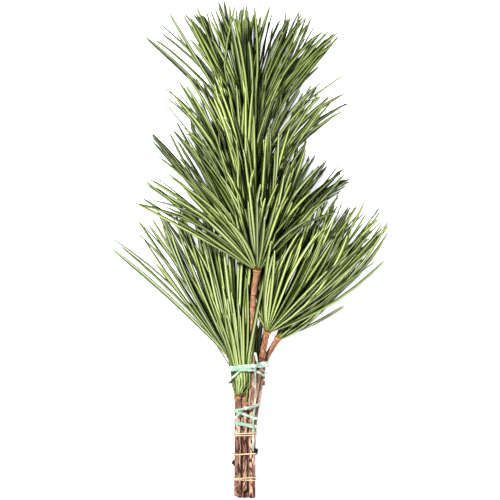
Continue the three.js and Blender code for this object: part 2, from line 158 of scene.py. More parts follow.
class Course:
    """A smooth centripetal curve through points, with places on it by their share of its length."""

    DIVISIONS = 200
    NUDGE = 0.0001

    def __init__(self, points: tuple[Point, ...]) -> None:
        """Takes the points and measures the curve.

        Args:
            points: What the curve runs through, in millimetres.
        """
        self.points = np.array(points, float)
        places = np.array([self.at(i / self.DIVISIONS) for i in range(self.DIVISIONS + 1)])
        steps = np.linalg.norm(np.diff(places, axis=0), axis=1)
        self.lengths = np.concatenate([[0.0], np.cumsum(steps)])

    def at(self, t: float) -> np.ndarray:
        """Finds the place at a share of the number of points.

        Args:
            t: The share, from 0 to 1.

        Returns:
            The place, in millimetres.
        """
        points = self.points
        last = len(points) - 1
        piece = min(int(math.floor(last * t)), last - 1)
        weight = last * t - piece
        second, third = points[piece], points[piece + 1]
        first = points[piece - 1] if piece > 0 else 2 * points[0] - points[1]
        fourth = points[piece + 2] if piece + 2 <= last else 2 * points[last] - points[last - 1]
        pairs = ((first, second), (second, third), (third, fourth))
        before, here, after = (np.sum((b - a) ** 2) ** 0.25 for a, b in pairs)
        start = (
            (second - first) / before - (third - first) / (before + here) + (third - second) / here
        ) * here
        end = (
            (third - second) / here - (fourth - second) / (here + after) + (fourth - third) / after
        ) * here
        square = -3 * second + 3 * third - 2 * start - end
        cube = 2 * second - 2 * third + start + end
        return second + start * weight + square * weight**2 + cube * weight**3

    def parameter(self, share: float) -> float:
        """Returns the share of the number of points that lies at a share of the length."""
        steps = np.arange(self.DIVISIONS + 1) / self.DIVISIONS
        return float(np.interp(share * self.lengths[-1], self.lengths, steps))

    def place(self, share: float) -> np.ndarray:
        """Returns the place at a share of the length."""
        return self.at(self.parameter(share))

    def tangent(self, share: float) -> np.ndarray:
        """Returns the way that the curve runs at a share of its length."""
        t = self.parameter(share)
        return unit(self.at(min(t + self.NUDGE, 1.0)) - self.at(max(t - self.NUDGE, 0.0)))


# Mesh work


def rolled(
    name: str, rings: np.ndarray, tones: np.ndarray | None = None, looped: bool = False
) -> bpy.types.Mesh:
    """Rolls a flat grid into a tube whose rings are given, welds its seams and closes its ends.

    Args:
        name: The mesh's name.
        rings: The tube's points, as rings by sides by three, in any unit.
        tones: Two values at each point, for the map tone.
        looped: Whether the tube's end meets its start.

    Returns:
        The mesh, with the map tone and the grid's own map, skin: U round the tube and V along it.
    """
    spans, sides = (len(rings) if looped else len(rings) - 1), rings.shape[1]
    bm = bmesh.new()
    bm.loops.layers.uv.new("skin")
    tone = bm.loops.layers.uv.new("tone")
    bmesh.ops.create_grid(bm, x_segments=sides, y_segments=spans, size=0.5, calc_uvs=True)
    for vert in bm.verts:
        column = round((vert.co.x + 0.5) * sides) % sides
        row = round((vert.co.y + 0.5) * spans) % len(rings)
        vert.co = rings[row][column]
        if tones is not None:
            for loop in vert.link_loops:
                loop[tone].uv = tones[row][column]
    bmesh.ops.remove_doubles(bm, verts=bm.verts, dist=WELD)
    if not looped:
        bmesh.ops.holes_fill(bm, edges=[edge for edge in bm.edges if edge.is_boundary], sides=0)
    bmesh.ops.recalc_face_normals(bm, faces=bm.faces)
    for face in bm.faces:
        face.smooth = True
    mesh = bpy.data.meshes.new(name)
    bm.to_mesh(mesh)
    bm.free()
    return mesh


def joined(name: str, meshes: list[bpy.types.Mesh]) -> bpy.types.Mesh:
    """Puts meshes together into one and removes them.

    Args:
        name: The name of the whole.
        meshes: The meshes, with the same maps.

    Returns:
        The whole.
    """
    bm = bmesh.new()
    for mesh in meshes:
        bm.from_mesh(mesh)
    whole = bpy.data.meshes.new(name)
    bm.to_mesh(whole)
    bm.free()
    for mesh in set(meshes):
        bpy.data.meshes.remove(mesh)
    return whole


def piece(name: str, mesh: bpy.types.Mesh, slot: str, finish: bpy.types.Material, *nodes: str) -> None:
    """Places a finished mesh in the scene, in metres, under the root body, and hides the solids that it
    replaces.

    Args:
        name: The piece's name.
        mesh: Its mesh, in millimetres.
        slot: Not used.
        finish: Its material.
        *nodes: The solids that it replaces.
    """
    mesh.transform(Matrix.Scale(MM, 4))
    mesh.materials.append(finish)
    made = bpy.data.objects.new(name, mesh)
    bpy.context.scene.collection.objects.link(made)
    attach(made, ROOT)
    if nodes:
        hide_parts(*nodes)
    log.info("%s: %d faces", name, len(mesh.polygons))


# Finishes


class Graph:
    """A node tree that is being put together."""

    MIX_SHARE, MIX_LOW, MIX_HIGH, MIX_RESULT = 0, 6, 7, 2

    def __init__(self, tree: bpy.types.NodeTree) -> None:
        """Takes an empty tree."""
        self.tree = tree

    def add(self, kind: str, settings: dict | None = None, **sockets: object) -> bpy.types.Node:
        """Adds a node.

        Args:
            kind: The node's type, without its leading ShaderNode.
            settings: Its own settings, by name.
            **sockets: What goes into each input, by its name with underscores: a value, or the socket of
                another node.

        Returns:
            The node.
        """
        node = self.tree.nodes.new(f"ShaderNode{kind}")
        for key, value in (settings or {}).items():
            setattr(node, key, value)
        for key, value in sockets.items():
            self.feed(node.inputs[key.replace("_", " ").strip()], value)
        return node

    def feed(self, socket: bpy.types.NodeSocket, value: object) -> None:
        """Sets a socket to a value, or links it to another socket.

        Args:
            socket: The input.
            value: The value, or the socket that feeds it.
        """
        if isinstance(value, bpy.types.NodeSocket):
            self.tree.links.new(value, socket)
        elif isinstance(value, tuple) and len(value) == 3 and socket.type == "RGBA":
            socket.default_value = (*value, 1.0)
        else:
            socket.default_value = value

    def maths(self, operation: str, *values: object) -> bpy.types.NodeSocket:
        """Adds a Math node.

        Args:
            operation: What it works out.
            *values: Its one to three values or sockets.

        Returns:
            Its result.
        """
        node = self.tree.nodes.new("ShaderNodeMath")
        node.operation = operation
        for socket, value in zip(node.inputs, values):
            self.feed(socket, value)
        return node.outputs[0]

    def ranged(
        self, value: object, low: float, high: float, to_low: float = 0, to_high: float = 1
    ) -> bpy.types.NodeSocket:
        """Adds a smooth Map Range node.

        Args:
            value: The socket that it reads.
            low: Where its result starts to change.
            high: Where it stops.
            to_low: Its result up to low.
            to_high: Its result from high on.

        Returns:
            Its result.
        """
        node = self.tree.nodes.new("ShaderNodeMapRange")
        node.interpolation_type = "SMOOTHSTEP"
        for socket, number in zip(node.inputs, (value, low, high, to_low, to_high)):
            self.feed(socket, number)
        return node.outputs[0]

    def blend(self, share: object, low: object, high: object) -> bpy.types.NodeSocket:
        """Adds a Mix node for colours.

        Args:
            share: How far the result lies from low towards high.
            low: The colour at 0.
            high: The colour at 1.

        Returns:
            Its result.
        """
        node = self.tree.nodes.new("ShaderNodeMix")
        node.data_type = "RGBA"
        self.feed(node.inputs[self.MIX_SHARE], share)
        self.feed(node.inputs[self.MIX_LOW], low)
        self.feed(node.inputs[self.MIX_HIGH], high)
        return node.outputs[self.MIX_RESULT]


def grain_group() -> bpy.types.NodeTree:
    """Builds the stretched grain that needles, bark, buds, tape and rubber share.

    Returns:
        The group. Grain and Flecks are masks from 0 to 1.
    """
    tree = bpy.data.node_groups.get("stretched_grain")
    if tree:
        return tree
    tree = bpy.data.node_groups.new("stretched_grain", "ShaderNodeTree")
    tree.interface.new_socket("Scale", in_out="INPUT", socket_type="NodeSocketFloat")
    tree.interface.new_socket("Stretch", in_out="INPUT", socket_type="NodeSocketVector")
    for name in ("Grain", "Flecks"):
        tree.interface.new_socket(name, in_out="OUTPUT", socket_type="NodeSocketFloat")
    graph = Graph(tree)
    inside = tree.nodes.new("NodeGroupInput")
    outside = tree.nodes.new("NodeGroupOutput")
    place = graph.add("TexCoord").outputs["Object"]
    stretched = graph.add("VectorMath", {"operation": "MULTIPLY"})
    graph.feed(stretched.inputs[0], place)
    graph.feed(stretched.inputs[1], inside.outputs["Stretch"])
    grain = graph.add(
        "TexNoise", Vector=stretched.outputs[0], Scale=inside.outputs["Scale"], Detail=6.0, Roughness=0.62,
        Distortion=0.4,
    )
    cells = graph.add(
        "TexVoronoi", {"feature": "F1"}, Vector=stretched.outputs[0], Scale=inside.outputs["Scale"],
    )
    graph.feed(outside.inputs["Grain"], graph.ranged(grain.outputs[0], 0.32, 0.68))
    graph.feed(outside.inputs["Flecks"], graph.ranged(cells.outputs["Distance"], 0.1, 0.5, 1, 0))
    return tree


# Where a value of the map tone turns bark into a black stub or cut wood

MARKED = (1.2, 1.8)


class Finish:
    """What each finish shares: an empty material with a Principled shader."""

    def material(self, name: str) -> tuple[bpy.types.Material, Graph, bpy.types.Node]:
        """Starts a material.

        Args:
            name: The material's name.

        Returns:
            The material, its graph and its Principled shader.
        """
        made = bpy.data.materials.new(name)
        made.use_nodes = True
        graph = Graph(made.node_tree)
        return made, graph, made.node_tree.nodes["Principled BSDF"]

    def grain(self, graph: Graph, scale: float, stretch: Point) -> bpy.types.Node:
        """Places the shared grain in a material, with values of its own.

        Args:
            graph: The material's graph.
            scale: How fine the grain is.
            stretch: What the coordinates are multiplied by, along each axis.

        Returns:
            The group's node.
        """
        node = graph.tree.nodes.new("ShaderNodeGroup")
        node.node_tree = grain_group()
        node.inputs["Scale"].default_value = scale
        node.inputs["Stretch"].default_value = stretch
        return node


@dataclass(frozen=True)
class LeafFinish(Finish):
    """Glossy green needle: a pale band and painted highlight down each side, painted shade at the margins
    and low in the whorl, paler at the root.
    """

    name: str
    band_and_highlight: Colour
    body: Colour
    painted_shade: Colour
    waxy_and_sheen: Colour
    specular: float
    root: Colour = (0.42, 0.36, 0.08)
    dry: Colour = (0.38, 0.22, 0.12)
    roughness: float = 0.32

    def build(self) -> bpy.types.Material:
        """Builds the material.

        It reads Object coordinates and two maps: skin, along the blade, and tone, two values a needle: the
        first mostly its height rank in the whorl, which sets painted shade on the lower needles and painted
        light on the higher, the second random.

        Returns:
            The material.
        """
        made, graph, shader = self.material(self.name)
        skin = graph.add("SeparateXYZ", Vector=graph.add("UVMap", {"uv_map": "skin"}).outputs[0])
        tone = graph.add("SeparateXYZ", Vector=graph.add("UVMap", {"uv_map": "tone"}).outputs[0])
        shift = graph.maths("MULTIPLY_ADD", tone.outputs[1], 0.36, -0.18)
        across = graph.maths("FRACT", graph.maths("MULTIPLY", skin.outputs[0], 2.0))
        from_line = graph.maths("ABSOLUTE", graph.maths("SUBTRACT", graph.maths("ADD", across, shift), 0.5))
        grain = self.grain(graph, 700, (1.0, 0.25, 1.0))
        wide = graph.maths("MULTIPLY_ADD", tone.outputs[0], 0.13, 0.07)
        lined = graph.maths("SUBTRACT", 1.0, graph.ranged(graph.maths("DIVIDE", from_line, wide), 0.35, 1.6))
        # The line down each side is partly a real pale band and partly a painted highlight. On some needles
        # it is whiter, partly wax and partly painted sheen.
        band_and_highlight = graph.blend(graph.ranged(tone.outputs[1], 0.74, 0.9, 0.0, 0.8), self.band_and_highlight, self.waxy_and_sheen)
        # Painted shade: each needle's margins are darkened towards a near-black green, standing in for the
        # shade between crowded needles.
        edge = graph.ranged(graph.maths("ABSOLUTE", graph.maths("SUBTRACT", across, 0.5)), 0.24, 0.38)
        # Painted shade and light by height: the lower needles of a whorl are darkened towards the shade
        # colour, and the higher ones get lighter bodies and brighter lines.
        shade = graph.maths("MULTIPLY_ADD", tone.outputs[0], -1.1, 1.0)
        low_shade = graph.maths("MAXIMUM", shade, graph.maths("MULTIPLY", grain.outputs["Grain"], 0.45))
        body = graph.blend(low_shade, self.body, self.painted_shade)
        # Painted light: the bodies of the higher needles lean towards the line colour.
        body = graph.blend(graph.maths("MULTIPLY", tone.outputs[0], 0.14), body, band_and_highlight)
        lit_line = graph.maths("MULTIPLY", lined, graph.maths("MULTIPLY_ADD", tone.outputs[0], 0.75, 0.25))
        colour = graph.blend(lit_line, body, band_and_highlight)
        # Painted shade along the margins.
        colour = graph.blend(graph.maths("MULTIPLY", edge, 0.95), colour, self.painted_shade)
        colour = graph.blend(graph.ranged(skin.outputs[1], 0.0, 0.13, 0.85, 0.0), colour, self.root)
        tip = graph.ranged(skin.outputs[1], 0.97, 1.0, 0.0, 0.4)
        graph.feed(shader.inputs["Base Color"], graph.blend(tip, colour, self.dry))
        rough = graph.ranged(grain.outputs["Flecks"], 0, 1, self.roughness, 0.5)
        graph.feed(shader.inputs["Roughness"], rough)
        lines = graph.add("TexWave", {"wave_profile": "SIN"}, Vector=skin.outputs[0], Scale=9.0)
        bump = graph.add("Bump", Strength=0.25, Distance=0.0002, Height=lines.outputs["Fac"])
        graph.feed(shader.inputs["Normal"], bump.outputs[0])
        shader.inputs["Specular IOR Level"].default_value = self.specular
        return made


@dataclass(frozen=True)
class BarkFinish(Finish):
    """Bark: flaking and cracked at the foot, smooth and orange-brown near the head, with pale cut wood."""

    name: str
    light: Colour = (0.80, 0.57, 0.46)
    middle: Colour = (0.46, 0.22, 0.14)
    shadow: Colour = (0.17, 0.055, 0.035)
    dark: Colour = (0.045, 0.013, 0.008)
    young: Colour = (0.36, 0.14, 0.06)
    pale: Colour = (0.57, 0.31, 0.20)
    flake: Colour = (0.93, 0.79, 0.68)
    wood: Colour = (0.60, 0.42, 0.24)
    heart: Colour = (0.30, 0.16, 0.08)
    stub: Colour = (0.010, 0.005, 0.004)
    rough_to: float = -0.118
    young_from: float = -0.092

    def build(self) -> bpy.types.Material:
        """Builds the material.

        It reads Object coordinates, and the map tone: cracks, painted shade where branches touch and black
        stubs in U, patches and cuts in V.

        Returns:
            The material.
        """
        made, graph, shader = self.material(self.name)
        along = graph.add("SeparateXYZ", Vector=graph.add("TexCoord").outputs["Object"]).outputs[1]
        tone = graph.add("SeparateXYZ", Vector=graph.add("UVMap", {"uv_map": "tone"}).outputs[0])
        old = graph.ranged(along, self.rough_to, self.young_from, 1.0, 0.0)
        coarse = self.grain(graph, 420, (1.0, 0.3, 1.0))
        fine = self.grain(graph, 1500, (1.0, 0.55, 1.0))
        scars = self.grain(graph, 260, (0.3, 1.5, 0.3))
        aged = graph.blend(coarse.outputs["Grain"], self.middle, self.light)
        aged = graph.blend(graph.maths("MULTIPLY", fine.outputs["Flecks"], 0.6), aged, self.flake)
        aged = graph.blend(graph.ranged(tone.outputs[1], 0.45, 0.85, 0.0, 0.8), aged, self.shadow)
        # Tone U darkens the old bark in its cracks, and paints shade where branches touch.
        aged = graph.blend(graph.ranged(tone.outputs[0], 0.25, 0.8, 0.0, 1.0), aged, self.dark)
        fresh = graph.blend(coarse.outputs["Grain"], self.pale, self.young)
        fresh = graph.blend(graph.ranged(scars.outputs["Grain"], 0.0, 0.25, 0.8, 0.0), fresh, self.dark)
        # The same on the young bark: its small cracks, and painted shade where branches touch.
        fresh = graph.blend(graph.ranged(tone.outputs[0], 0.05, 0.3, 0.0, 0.6), fresh, self.dark)
        sawn = graph.blend(scars.outputs["Grain"], self.heart, self.wood)
        skin = graph.blend(old, fresh, aged)
        skin = graph.blend(graph.ranged(tone.outputs[0], *MARKED), skin, self.stub)
        skin = graph.blend(graph.ranged(tone.outputs[1], *MARKED), skin, sawn)
        graph.feed(shader.inputs["Base Color"], skin)
        graph.feed(shader.inputs["Roughness"], graph.ranged(old, 0, 1, 0.5, 0.85))
        shader.inputs["Specular IOR Level"].default_value = 0.2
        height = graph.maths("MULTIPLY_ADD", coarse.outputs["Grain"], 1.2, fine.outputs["Grain"])
        bump = graph.add("Bump", Strength=0.6, Distance=0.0005, Height=height)
        graph.feed(shader.inputs["Normal"], bump.outputs[0])
        return made


@dataclass(frozen=True)
class PlainFinish(Finish):
    """A mottled finish: buds and rubber."""

    name: str
    light: Colour
    dark: Colour
    roughness: float = 0.6
    scale: float = 600
    relief: float = 0.3

    def build(self) -> bpy.types.Material:
        """Builds the material. It reads Object coordinates.

        Returns:
            The material.
        """
        made, graph, shader = self.material(self.name)
        grain = self.grain(graph, self.scale, EVEN)
        colour = graph.blend(grain.outputs["Grain"], self.dark, self.light)
        graph.feed(shader.inputs["Base Color"], colour)
        rough = graph.ranged(grain.outputs["Flecks"], 0, 1, self.roughness, min(1.0, self.roughness + 0.15))
        graph.feed(shader.inputs["Roughness"], rough)
        bump = graph.add("Bump", Strength=self.relief, Distance=0.0004, Height=grain.outputs["Grain"])
        graph.feed(shader.inputs["Normal"], bump.outputs[0])
        return made


@dataclass(frozen=True)
class TapeFinish(Finish):
    """Thin mint-green plastic tape: glossy, drawn lengthwise, a little clear, with painted glints."""

    name: str
    light: Colour = (0.35, 0.52, 0.41)
    dark: Colour = (0.14, 0.30, 0.22)
    glint: Colour = (0.88, 0.96, 0.92)
    roughness: float = 0.24

    def build(self) -> bpy.types.Material:
        """Builds the material. It reads Object coordinates, and the map skin with U round the section.

        Returns:
            The material.
        """
        made, graph, shader = self.material(self.name)
        skin = graph.add("UVMap", {"uv_map": "skin"}).outputs[0]
        long = graph.add("Mapping", Vector=skin, Scale=(22.0, 3.0, 1.0))
        lines = graph.add("TexNoise", Vector=long.outputs[0], Scale=2.4, Detail=4.0, Roughness=0.6)
        mask = graph.ranged(lines.outputs[0], 0.3, 0.7)
        creases = self.grain(graph, 420, EVEN)
        colour = graph.blend(mask, self.dark, self.light)
        stretched = self.grain(graph, 170, EVEN)
        # Painted highlight: whitish glints mottled into the colour.
        glint_share = graph.ranged(stretched.outputs["Grain"], 0.56, 0.84, 0.0, 0.85)
        graph.feed(shader.inputs["Base Color"], graph.blend(glint_share, colour, self.glint))
        graph.feed(shader.inputs["Roughness"], graph.ranged(mask, 0, 1, self.roughness, 0.4))
        height = graph.maths("MULTIPLY_ADD", creases.outputs["Grain"], 0.6, mask)
        bump = graph.add("Bump", Strength=0.35, Distance=0.0003, Height=height)
        graph.feed(shader.inputs["Normal"], bump.outputs[0])
        shader.inputs["Coat Weight"].default_value = 0.25
        shader.inputs["Coat Roughness"].default_value = 0.12
        shader.inputs["Subsurface Weight"].default_value = 0.15
        shader.inputs["Subsurface Radius"].default_value = (0.001, 0.001, 0.001)
        return made


class Leaf(Enum):
    """The needle materials of the whorls: copies of one green, set lighter or darker whorl by whorl. The
    darkest copy paints shade on the two low whorls that lie under the others, and the lightest paints light
    on the right whorl.
    """

    BRIGHT = LeafFinish(
        "needle_bright",
        band_and_highlight=(0.60, 0.70, 0.28),
        body=(0.128, 0.214, 0.009),
        painted_shade=(0.002, 0.009, 0.0005),
        waxy_and_sheen=(0.58, 0.68, 0.45),
        specular=0.16,
    )
    # Painted light: a lighter copy for the right whorl.
    SUNNY = LeafFinish(
        "needle_sunny",
        band_and_highlight=(0.66, 0.75, 0.33),
        body=(0.19, 0.295, 0.018),
        painted_shade=(0.003, 0.011, 0.0005),
        waxy_and_sheen=(0.60, 0.70, 0.46),
        specular=0.16,
    )
    PALE_GREEN = LeafFinish(
        "needle_pale_green",
        band_and_highlight=(0.54, 0.64, 0.32),
        body=(0.185, 0.28, 0.028),
        painted_shade=(0.010, 0.027, 0.002),
        waxy_and_sheen=(0.56, 0.66, 0.44),
        specular=0.16,
    )
    DARK_GREEN = LeafFinish(
        "needle_dark_green",
        band_and_highlight=(0.50, 0.59, 0.26),
        body=(0.070, 0.128, 0.006),
        painted_shade=(0.002, 0.008, 0.0005),
        waxy_and_sheen=(0.48, 0.58, 0.40),
        specular=0.15,
    )
    CROWN = LeafFinish(
        "needle_crown",
        band_and_highlight=(0.34, 0.43, 0.13),
        body=(0.052, 0.094, 0.003),
        painted_shade=(0.0015, 0.006, 0.0005),
        waxy_and_sheen=(0.34, 0.44, 0.24),
        specular=0.12,
    )
    # Painted shade: the darkest copy, for the low whorls round the stems that lie under the others.
    SHADED = LeafFinish(
        "needle_shaded",
        band_and_highlight=(0.23, 0.31, 0.12),
        body=(0.015, 0.035, 0.004),
        painted_shade=(0.002, 0.005, 0.001),
        waxy_and_sheen=(0.24, 0.34, 0.20),
        specular=0.1,
    )


# The rules that laid the solids


@dataclass(frozen=True)
class Branch:
    """A cut branch: its radius at its foot and head, and the points that it runs through."""

    radius: tuple[float, float]
    run: tuple[Point, ...]


@dataclass(frozen=True)
class Gather:
    """A place where a tie squeezes a whorl's needles together: its middle, and half its width and height."""

    centre: Point
    half: tuple[float, float]


@dataclass(frozen=True)
class Whorl:
    """A whorl's rule, as its solid was laid by.

    Attributes:
        count: Needles that the solid tries for.
        fill: Needles more that are laid between them.
        length: Of the leftmost, middle and rightmost needles.
        spread: What a needle's length may differ by.
        turn: The outermost needles' angles from +Y towards +X, in degrees.
        rise: The outermost needles' angles above the surface, in degrees.
        curl: How far the outermost bend outwards, as a share of the length.
        arch: How far the outermost finer needles swing out midway, as a share of the length.
        leaf: The whorl's green.
        collar: The radius of the knob that they grow from.
        belly: Where a squeezed whorl swells below the tie.
        waist: Where the tie squeezes it.
        full_belly: Where the finer needles over them swell below the tie.
        full_waist: Where the tie squeezes those.
        stem: The stem that a ringed whorl sits round.
        passes_at: The ringed whorl's place along Y.
        reach: The furthest angles that the dressed needles keep to, in degrees as for turn.
        slim: The dressed needles' width, as a share of the broadest.
    """

    count: int
    fill: int
    length: Point
    spread: float
    turn: tuple[float, float]
    rise: tuple[float, float]
    curl: float
    arch: float
    leaf: Leaf
    collar: float = 4.2
    belly: Gather | None = None
    waist: Gather | None = None
    full_belly: Gather | None = None
    full_waist: Gather | None = None
    stem: str | None = None
    passes_at: float = 0.0
    reach: tuple[float, float] = (-180.0, 180.0)
    slim: float = 1.0


BRANCHES: dict[str, Branch] = {
    "crown": Branch(
        (3.0, 2.2),
        (
            (-4, -198, 4.3), (-4, -150, 4.3), (-4, -100, 5.2), (-6, -50, 11.5), (-6, 0, 19), (-2, 45, 25.5),
            (0, 84, 30),
        ),
    ),
    "upper": Branch(
        (2.8, 2.2),
        (
            (-7.1, -197.5, 9.8), (-7.1, -150, 9.8), (-5, -100, 10.8), (1, -50, 18), (7, -10, 26),
            (4, 12, 33.5), (-1, 30, 42),
        ),
    ),
    "front": Branch(
        (2.6, 2.4),
        (
            (1.7, -197.5, 14.8), (1.7, -150, 14.8), (1.7, -108, 16.8), (1.6, -90, 19.4), (0.9, -72, 25),
            (1.6, -56, 31.5), (2.6, -40, 38.5), (4, -26, 45.5), (5.4, -17, 50),
        ),
    ),
    "right": Branch(
        (2.6, 2.6),
        (
            (-0.9, -197, 9.7), (-0.9, -150, 9.7), (1.9, -125, 10), (5.2, -106, 12.2), (8.4, -92, 15.2),
            (11, -78, 21), (13.4, -66, 28),
        ),
    ),
    "far_right": Branch(
        (2.5, 2.3),
        (
            (1.8, -196, 3.8), (1.8, -160, 3.8), (3, -140, 3.8), (6.2, -120, 4.4), (8.4, -106, 5.4),
            (10.4, -93, 8), (14, -84, 11), (21.4, -71.6, 16.6),
        ),
    ),
    "low_left": Branch((2.9, 2.5), ((-9.9, -196, 15.2), (-9.9, -150, 15.2), (-10, -118.5, 16.2))),
    "thin": Branch((2.0, 1.8), ((-4, -192, 14.3), (-4, -150, 14.3), (-3.6, -123, 16.6))),
    "left": Branch((2.6, 2.2), ((-9.9, -197, 3.9), (-9.9, -150, 3.9), (-11.5, -105, 5), (-15.4, -86, 8.6))),
}

WHORLS: dict[str, Whorl] = {
    "front": Whorl(
        58, 124, (116, 116, 94), 8, (-60, 51), (0, 50), 0.02, -0.045, Leaf.BRIGHT,
        reach=(-64, 54), slim=0.95,
    ),
    "upper": Whorl(
        50, 150, (114, 100, 113), 6, (-35, 43), (-9, 26), 0.02, -0.06, Leaf.BRIGHT,
        reach=(-37, 42), slim=0.95,
    ),
    "right": Whorl(
        50, 116, (110, 114, 133), 6, (-6, 54), (0, 32), -0.06, 0.05, Leaf.SUNNY,
        slim=0.9,
    ),
    "crown": Whorl(
        54, 170, (118, 103, 104), 6, (-43, 46), (-17, 18), 0.06, -0.05, Leaf.CROWN,
        reach=(-44, 37), slim=0.86,
    ),
    "low_left": Whorl(
        22, 60, (98, 102, 100), 8, (-13, 6), (5, 15), 0.05, 0.0, Leaf.PALE_GREEN, collar=3.6,
        belly=Gather((-10.4, -106, 18.6), (4.2, 3.4)), waist=Gather((-10.8, -92, 19.6), (4.2, 3)),
        full_belly=Gather((-6.2, -109.5, 21.6), (5.8, 2.6)),
        full_waist=Gather((-7.0, -92, 22.6), (6.9, 2.0)),
    ),
    "thin": Whorl(
        6, 6, (92, 90, 86), 14, (-7, 4), (4, 12), 0.03, 0.0, Leaf.DARK_GREEN, collar=2.4,
        belly=Gather((-2.6, -106, 20.9), (0.6, 1)), waist=Gather((-2.9, -92, 22.4), (0.7, 2)),
    ),
    "left": Whorl(44, 10, (125, 116, 106), 6, (-33, 1), (-8, 21), 0.28, 0.02, Leaf.DARK_GREEN, slim=0.94),
    "far_right": Whorl(
        24, 14, (122, 96, 66), 8, (36, 68), (-8, 24), -0.12, 0.05, Leaf.BRIGHT,
        reach=(24, 44), slim=0.92,
    ),
    "upper_lower": Whorl(
        30, 56, (100, 98, 98), 6, (-2, 48), (-16, 8), 0.03, -0.04, Leaf.SHADED, stem="upper", passes_at=-10,
        reach=(-5, 46),
    ),
    "crown_lower": Whorl(
        34, 84, (118, 108, 104), 6, (-38, 6), (-12, 12), 0.03, -0.04, Leaf.SHADED, stem="crown", passes_at=0,
        reach=(-37, 10), slim=0.92,
    ),
}

NEEDLE_WIDTH = 3.2
NEEDLE_STOPS = (0.0, 0.14, 0.52, 1.0)
NEEDLE_WIDTHS = (0.28, 0.46, 1.0, 0.34)
SQUEEZED_WIDTH = 0.8
FLOOR_HEIGHT = 1.65
RING_RADIUS = 5.4
RING_ROWS = (-1.1, 1.1)
ROOT_DEPTH = 0.9
GOLDEN_TURN = math.pi * (3 - math.sqrt(5))
ROOT_SPREAD = math.radians(82)
MOST_TRIES = 120
LOOSE_LEAST, LOOSE_MOST, LOOSE_STEP = 5.0, 24.0, 0.2
INNER_SHARE = 0.3
OUTWARD_POWER = 0.5
BEND = 0.08
SEED_STEP = 1000
STEM_PARTS = 16
BOX_MARGIN = 1.0
LOWEST = 0.12
STEEP = 25.0
WANDER = 6.0
SLIM = 0.78
BUD_TOP = 1.4
SETTLED = 0.8
SQUEEZE_FROM, SQUEEZE_TO, SQUEEZE_ROOM = -0.9, 1.3, 0.3

# The same for the finer needles between them

FILL_TRIES = MOST_TRIES // 3
FILL_LOOSE_LEAST = 15.0
FILL_SHIFT = 0.4
FILL_ROOM = 1.04
FILL_POWER = 0.36
FILL_BEND = 0.16
FILL_SEED = 90000
SWAY_SEED = 4242

# Sizes of the bark and the collars

# How far from another branch the painted shade between touching branches reaches
CONTACT_SHADE_REACH = 3.0
CUT, CUT_RIM = 2.0, 0.9
FOOT_SHRINK = (0.12, 0.6, 0.86, 0.95)
HEAD_SHRINK = (0.7, 0.15)
DISH_DEPTH = 0.35
KNOT_SIDES = 12
KNOT_LENGTH = 1.65
KNOT_PROFILE = ((0.6, 1.9), (2.0, 1.8), (2.9, 1.5), (3.6, 1.35), (4.2, 1.35), (4.7, 0.9), (4.3, 0.3))
COLLAR_SIDES = 16
COLLAR_SUNK = 0.4
COLLAR_LUMPS, COLLAR_LUMP_DEPTH = 8, 0.07
RING_PROFILE = (
    (-0.63, 0.45), (-0.56, 0.78), (-0.3, 0.94), (0.0, 0.98), (0.3, 0.94), (0.56, 0.78), (0.63, 0.45),
)
BUD_PROFILE = (
    (0.0, 0.55), (0.2, 0.74), (0.5, 0.94), (0.75, 0.97), (1.0, 0.86), (1.25, 0.66), (1.5, 0.38), (1.62, 0.1),
)

# Sizes of the dressed needles and of the scales

ROOT_EASE = 2.5
SWAY_EASES = (1.0, 0.6, 0.3)
TWIST = 0.35
WIDTH_LEAST, WIDTH_RANGE = 0.86, 0.26
BLADE_SEED, SCALE_SEED = 77, 500
SCALE_ROOT, SCALE_TIP, SCALE_BOW, SCALE_BREADTH = 0.7, 1.02, 0.2, 0.55

# Needles that run by themselves: the whorl, the course and the width

STRAYS: tuple[tuple[str, tuple[Point, ...], float], ...] = (
    ("left", ((-12, -99, 7), (-17.6, -90, 9.5), (-22.4, -82.5, 11), (-28.4, -73, 12)), 0.34),
    ("right", ((13.2, -64, 29), (9, -56, 32.5), (3.6, -47, 35.5), (-1.8, -39, 37)), 0.85),
    ("crown", ((4, 88, 34), (30, 104, 40), (54, 128, 44), (74.5, 138.6, 45)), 0.5),
    ("crown", ((-2, 90, 34), (-16, 120, 36), (-20, 160, 34), (-12, 194, 30)), 0.8),
    ("far_right", ((22, -70, 18), (40, -63, 22), (58, -55, 24), (74.4, -44.8, 22)), 0.8),
    ("thin", ((-3, -121, 14), (1.6, -104, 11), (4.4, -88, 12), (5.8, -60, 17)), 1.0),
    ("thin", ((-3, -121, 13), (2.2, -104, 9.5), (5, -88, 10), (9.4, -54, 13)), 1.0),
    ("thin", ((-3, -121, 12), (1.2, -104, 9), (3.4, -88, 9), (3, -50, 12)), 0.9),
    ("thin", ((-3, -121, 13), (2.6, -104, 7.5), (6.6, -88, 7), (12.6, -60, 9)), 0.8),
)


@dataclass(frozen=True)
class Clearance:
    """How far a new needle keeps from what is laid.

    Attributes:
        closeness: Share of both half widths between needles of one whorl.
        air: Room between needles of different whorls.
        slim: Share of the half widths that counts.
        roots: Least distance between the roots of one whorl.
    """

    closeness: float
    air: float
    slim: float
    roots: float


SOLID_CLEARANCE = Clearance(0.55, 0.25, 1.0, 0.7)
FILL_CLEARANCE = Clearance(0.42, 0.0, 0.62, 0.25)


@dataclass
class Blade:
    """One needle as it is laid.

    Attributes:
        points: What it runs through.
        face: The way that its broad side faces.
        squeezed: Whether it first runs through a tie.
        sway: How far its middle swings out of line.
        breadth: Its width as a share of the whorl's.
        stray: Whether it runs by itself, apart from the whorl's rule.
    """

    points: np.ndarray
    face: np.ndarray
    squeezed: bool
    sway: np.ndarray = field(default_factory=lambda: np.zeros(3))
    breadth: float = 1.0
    stray: bool = False


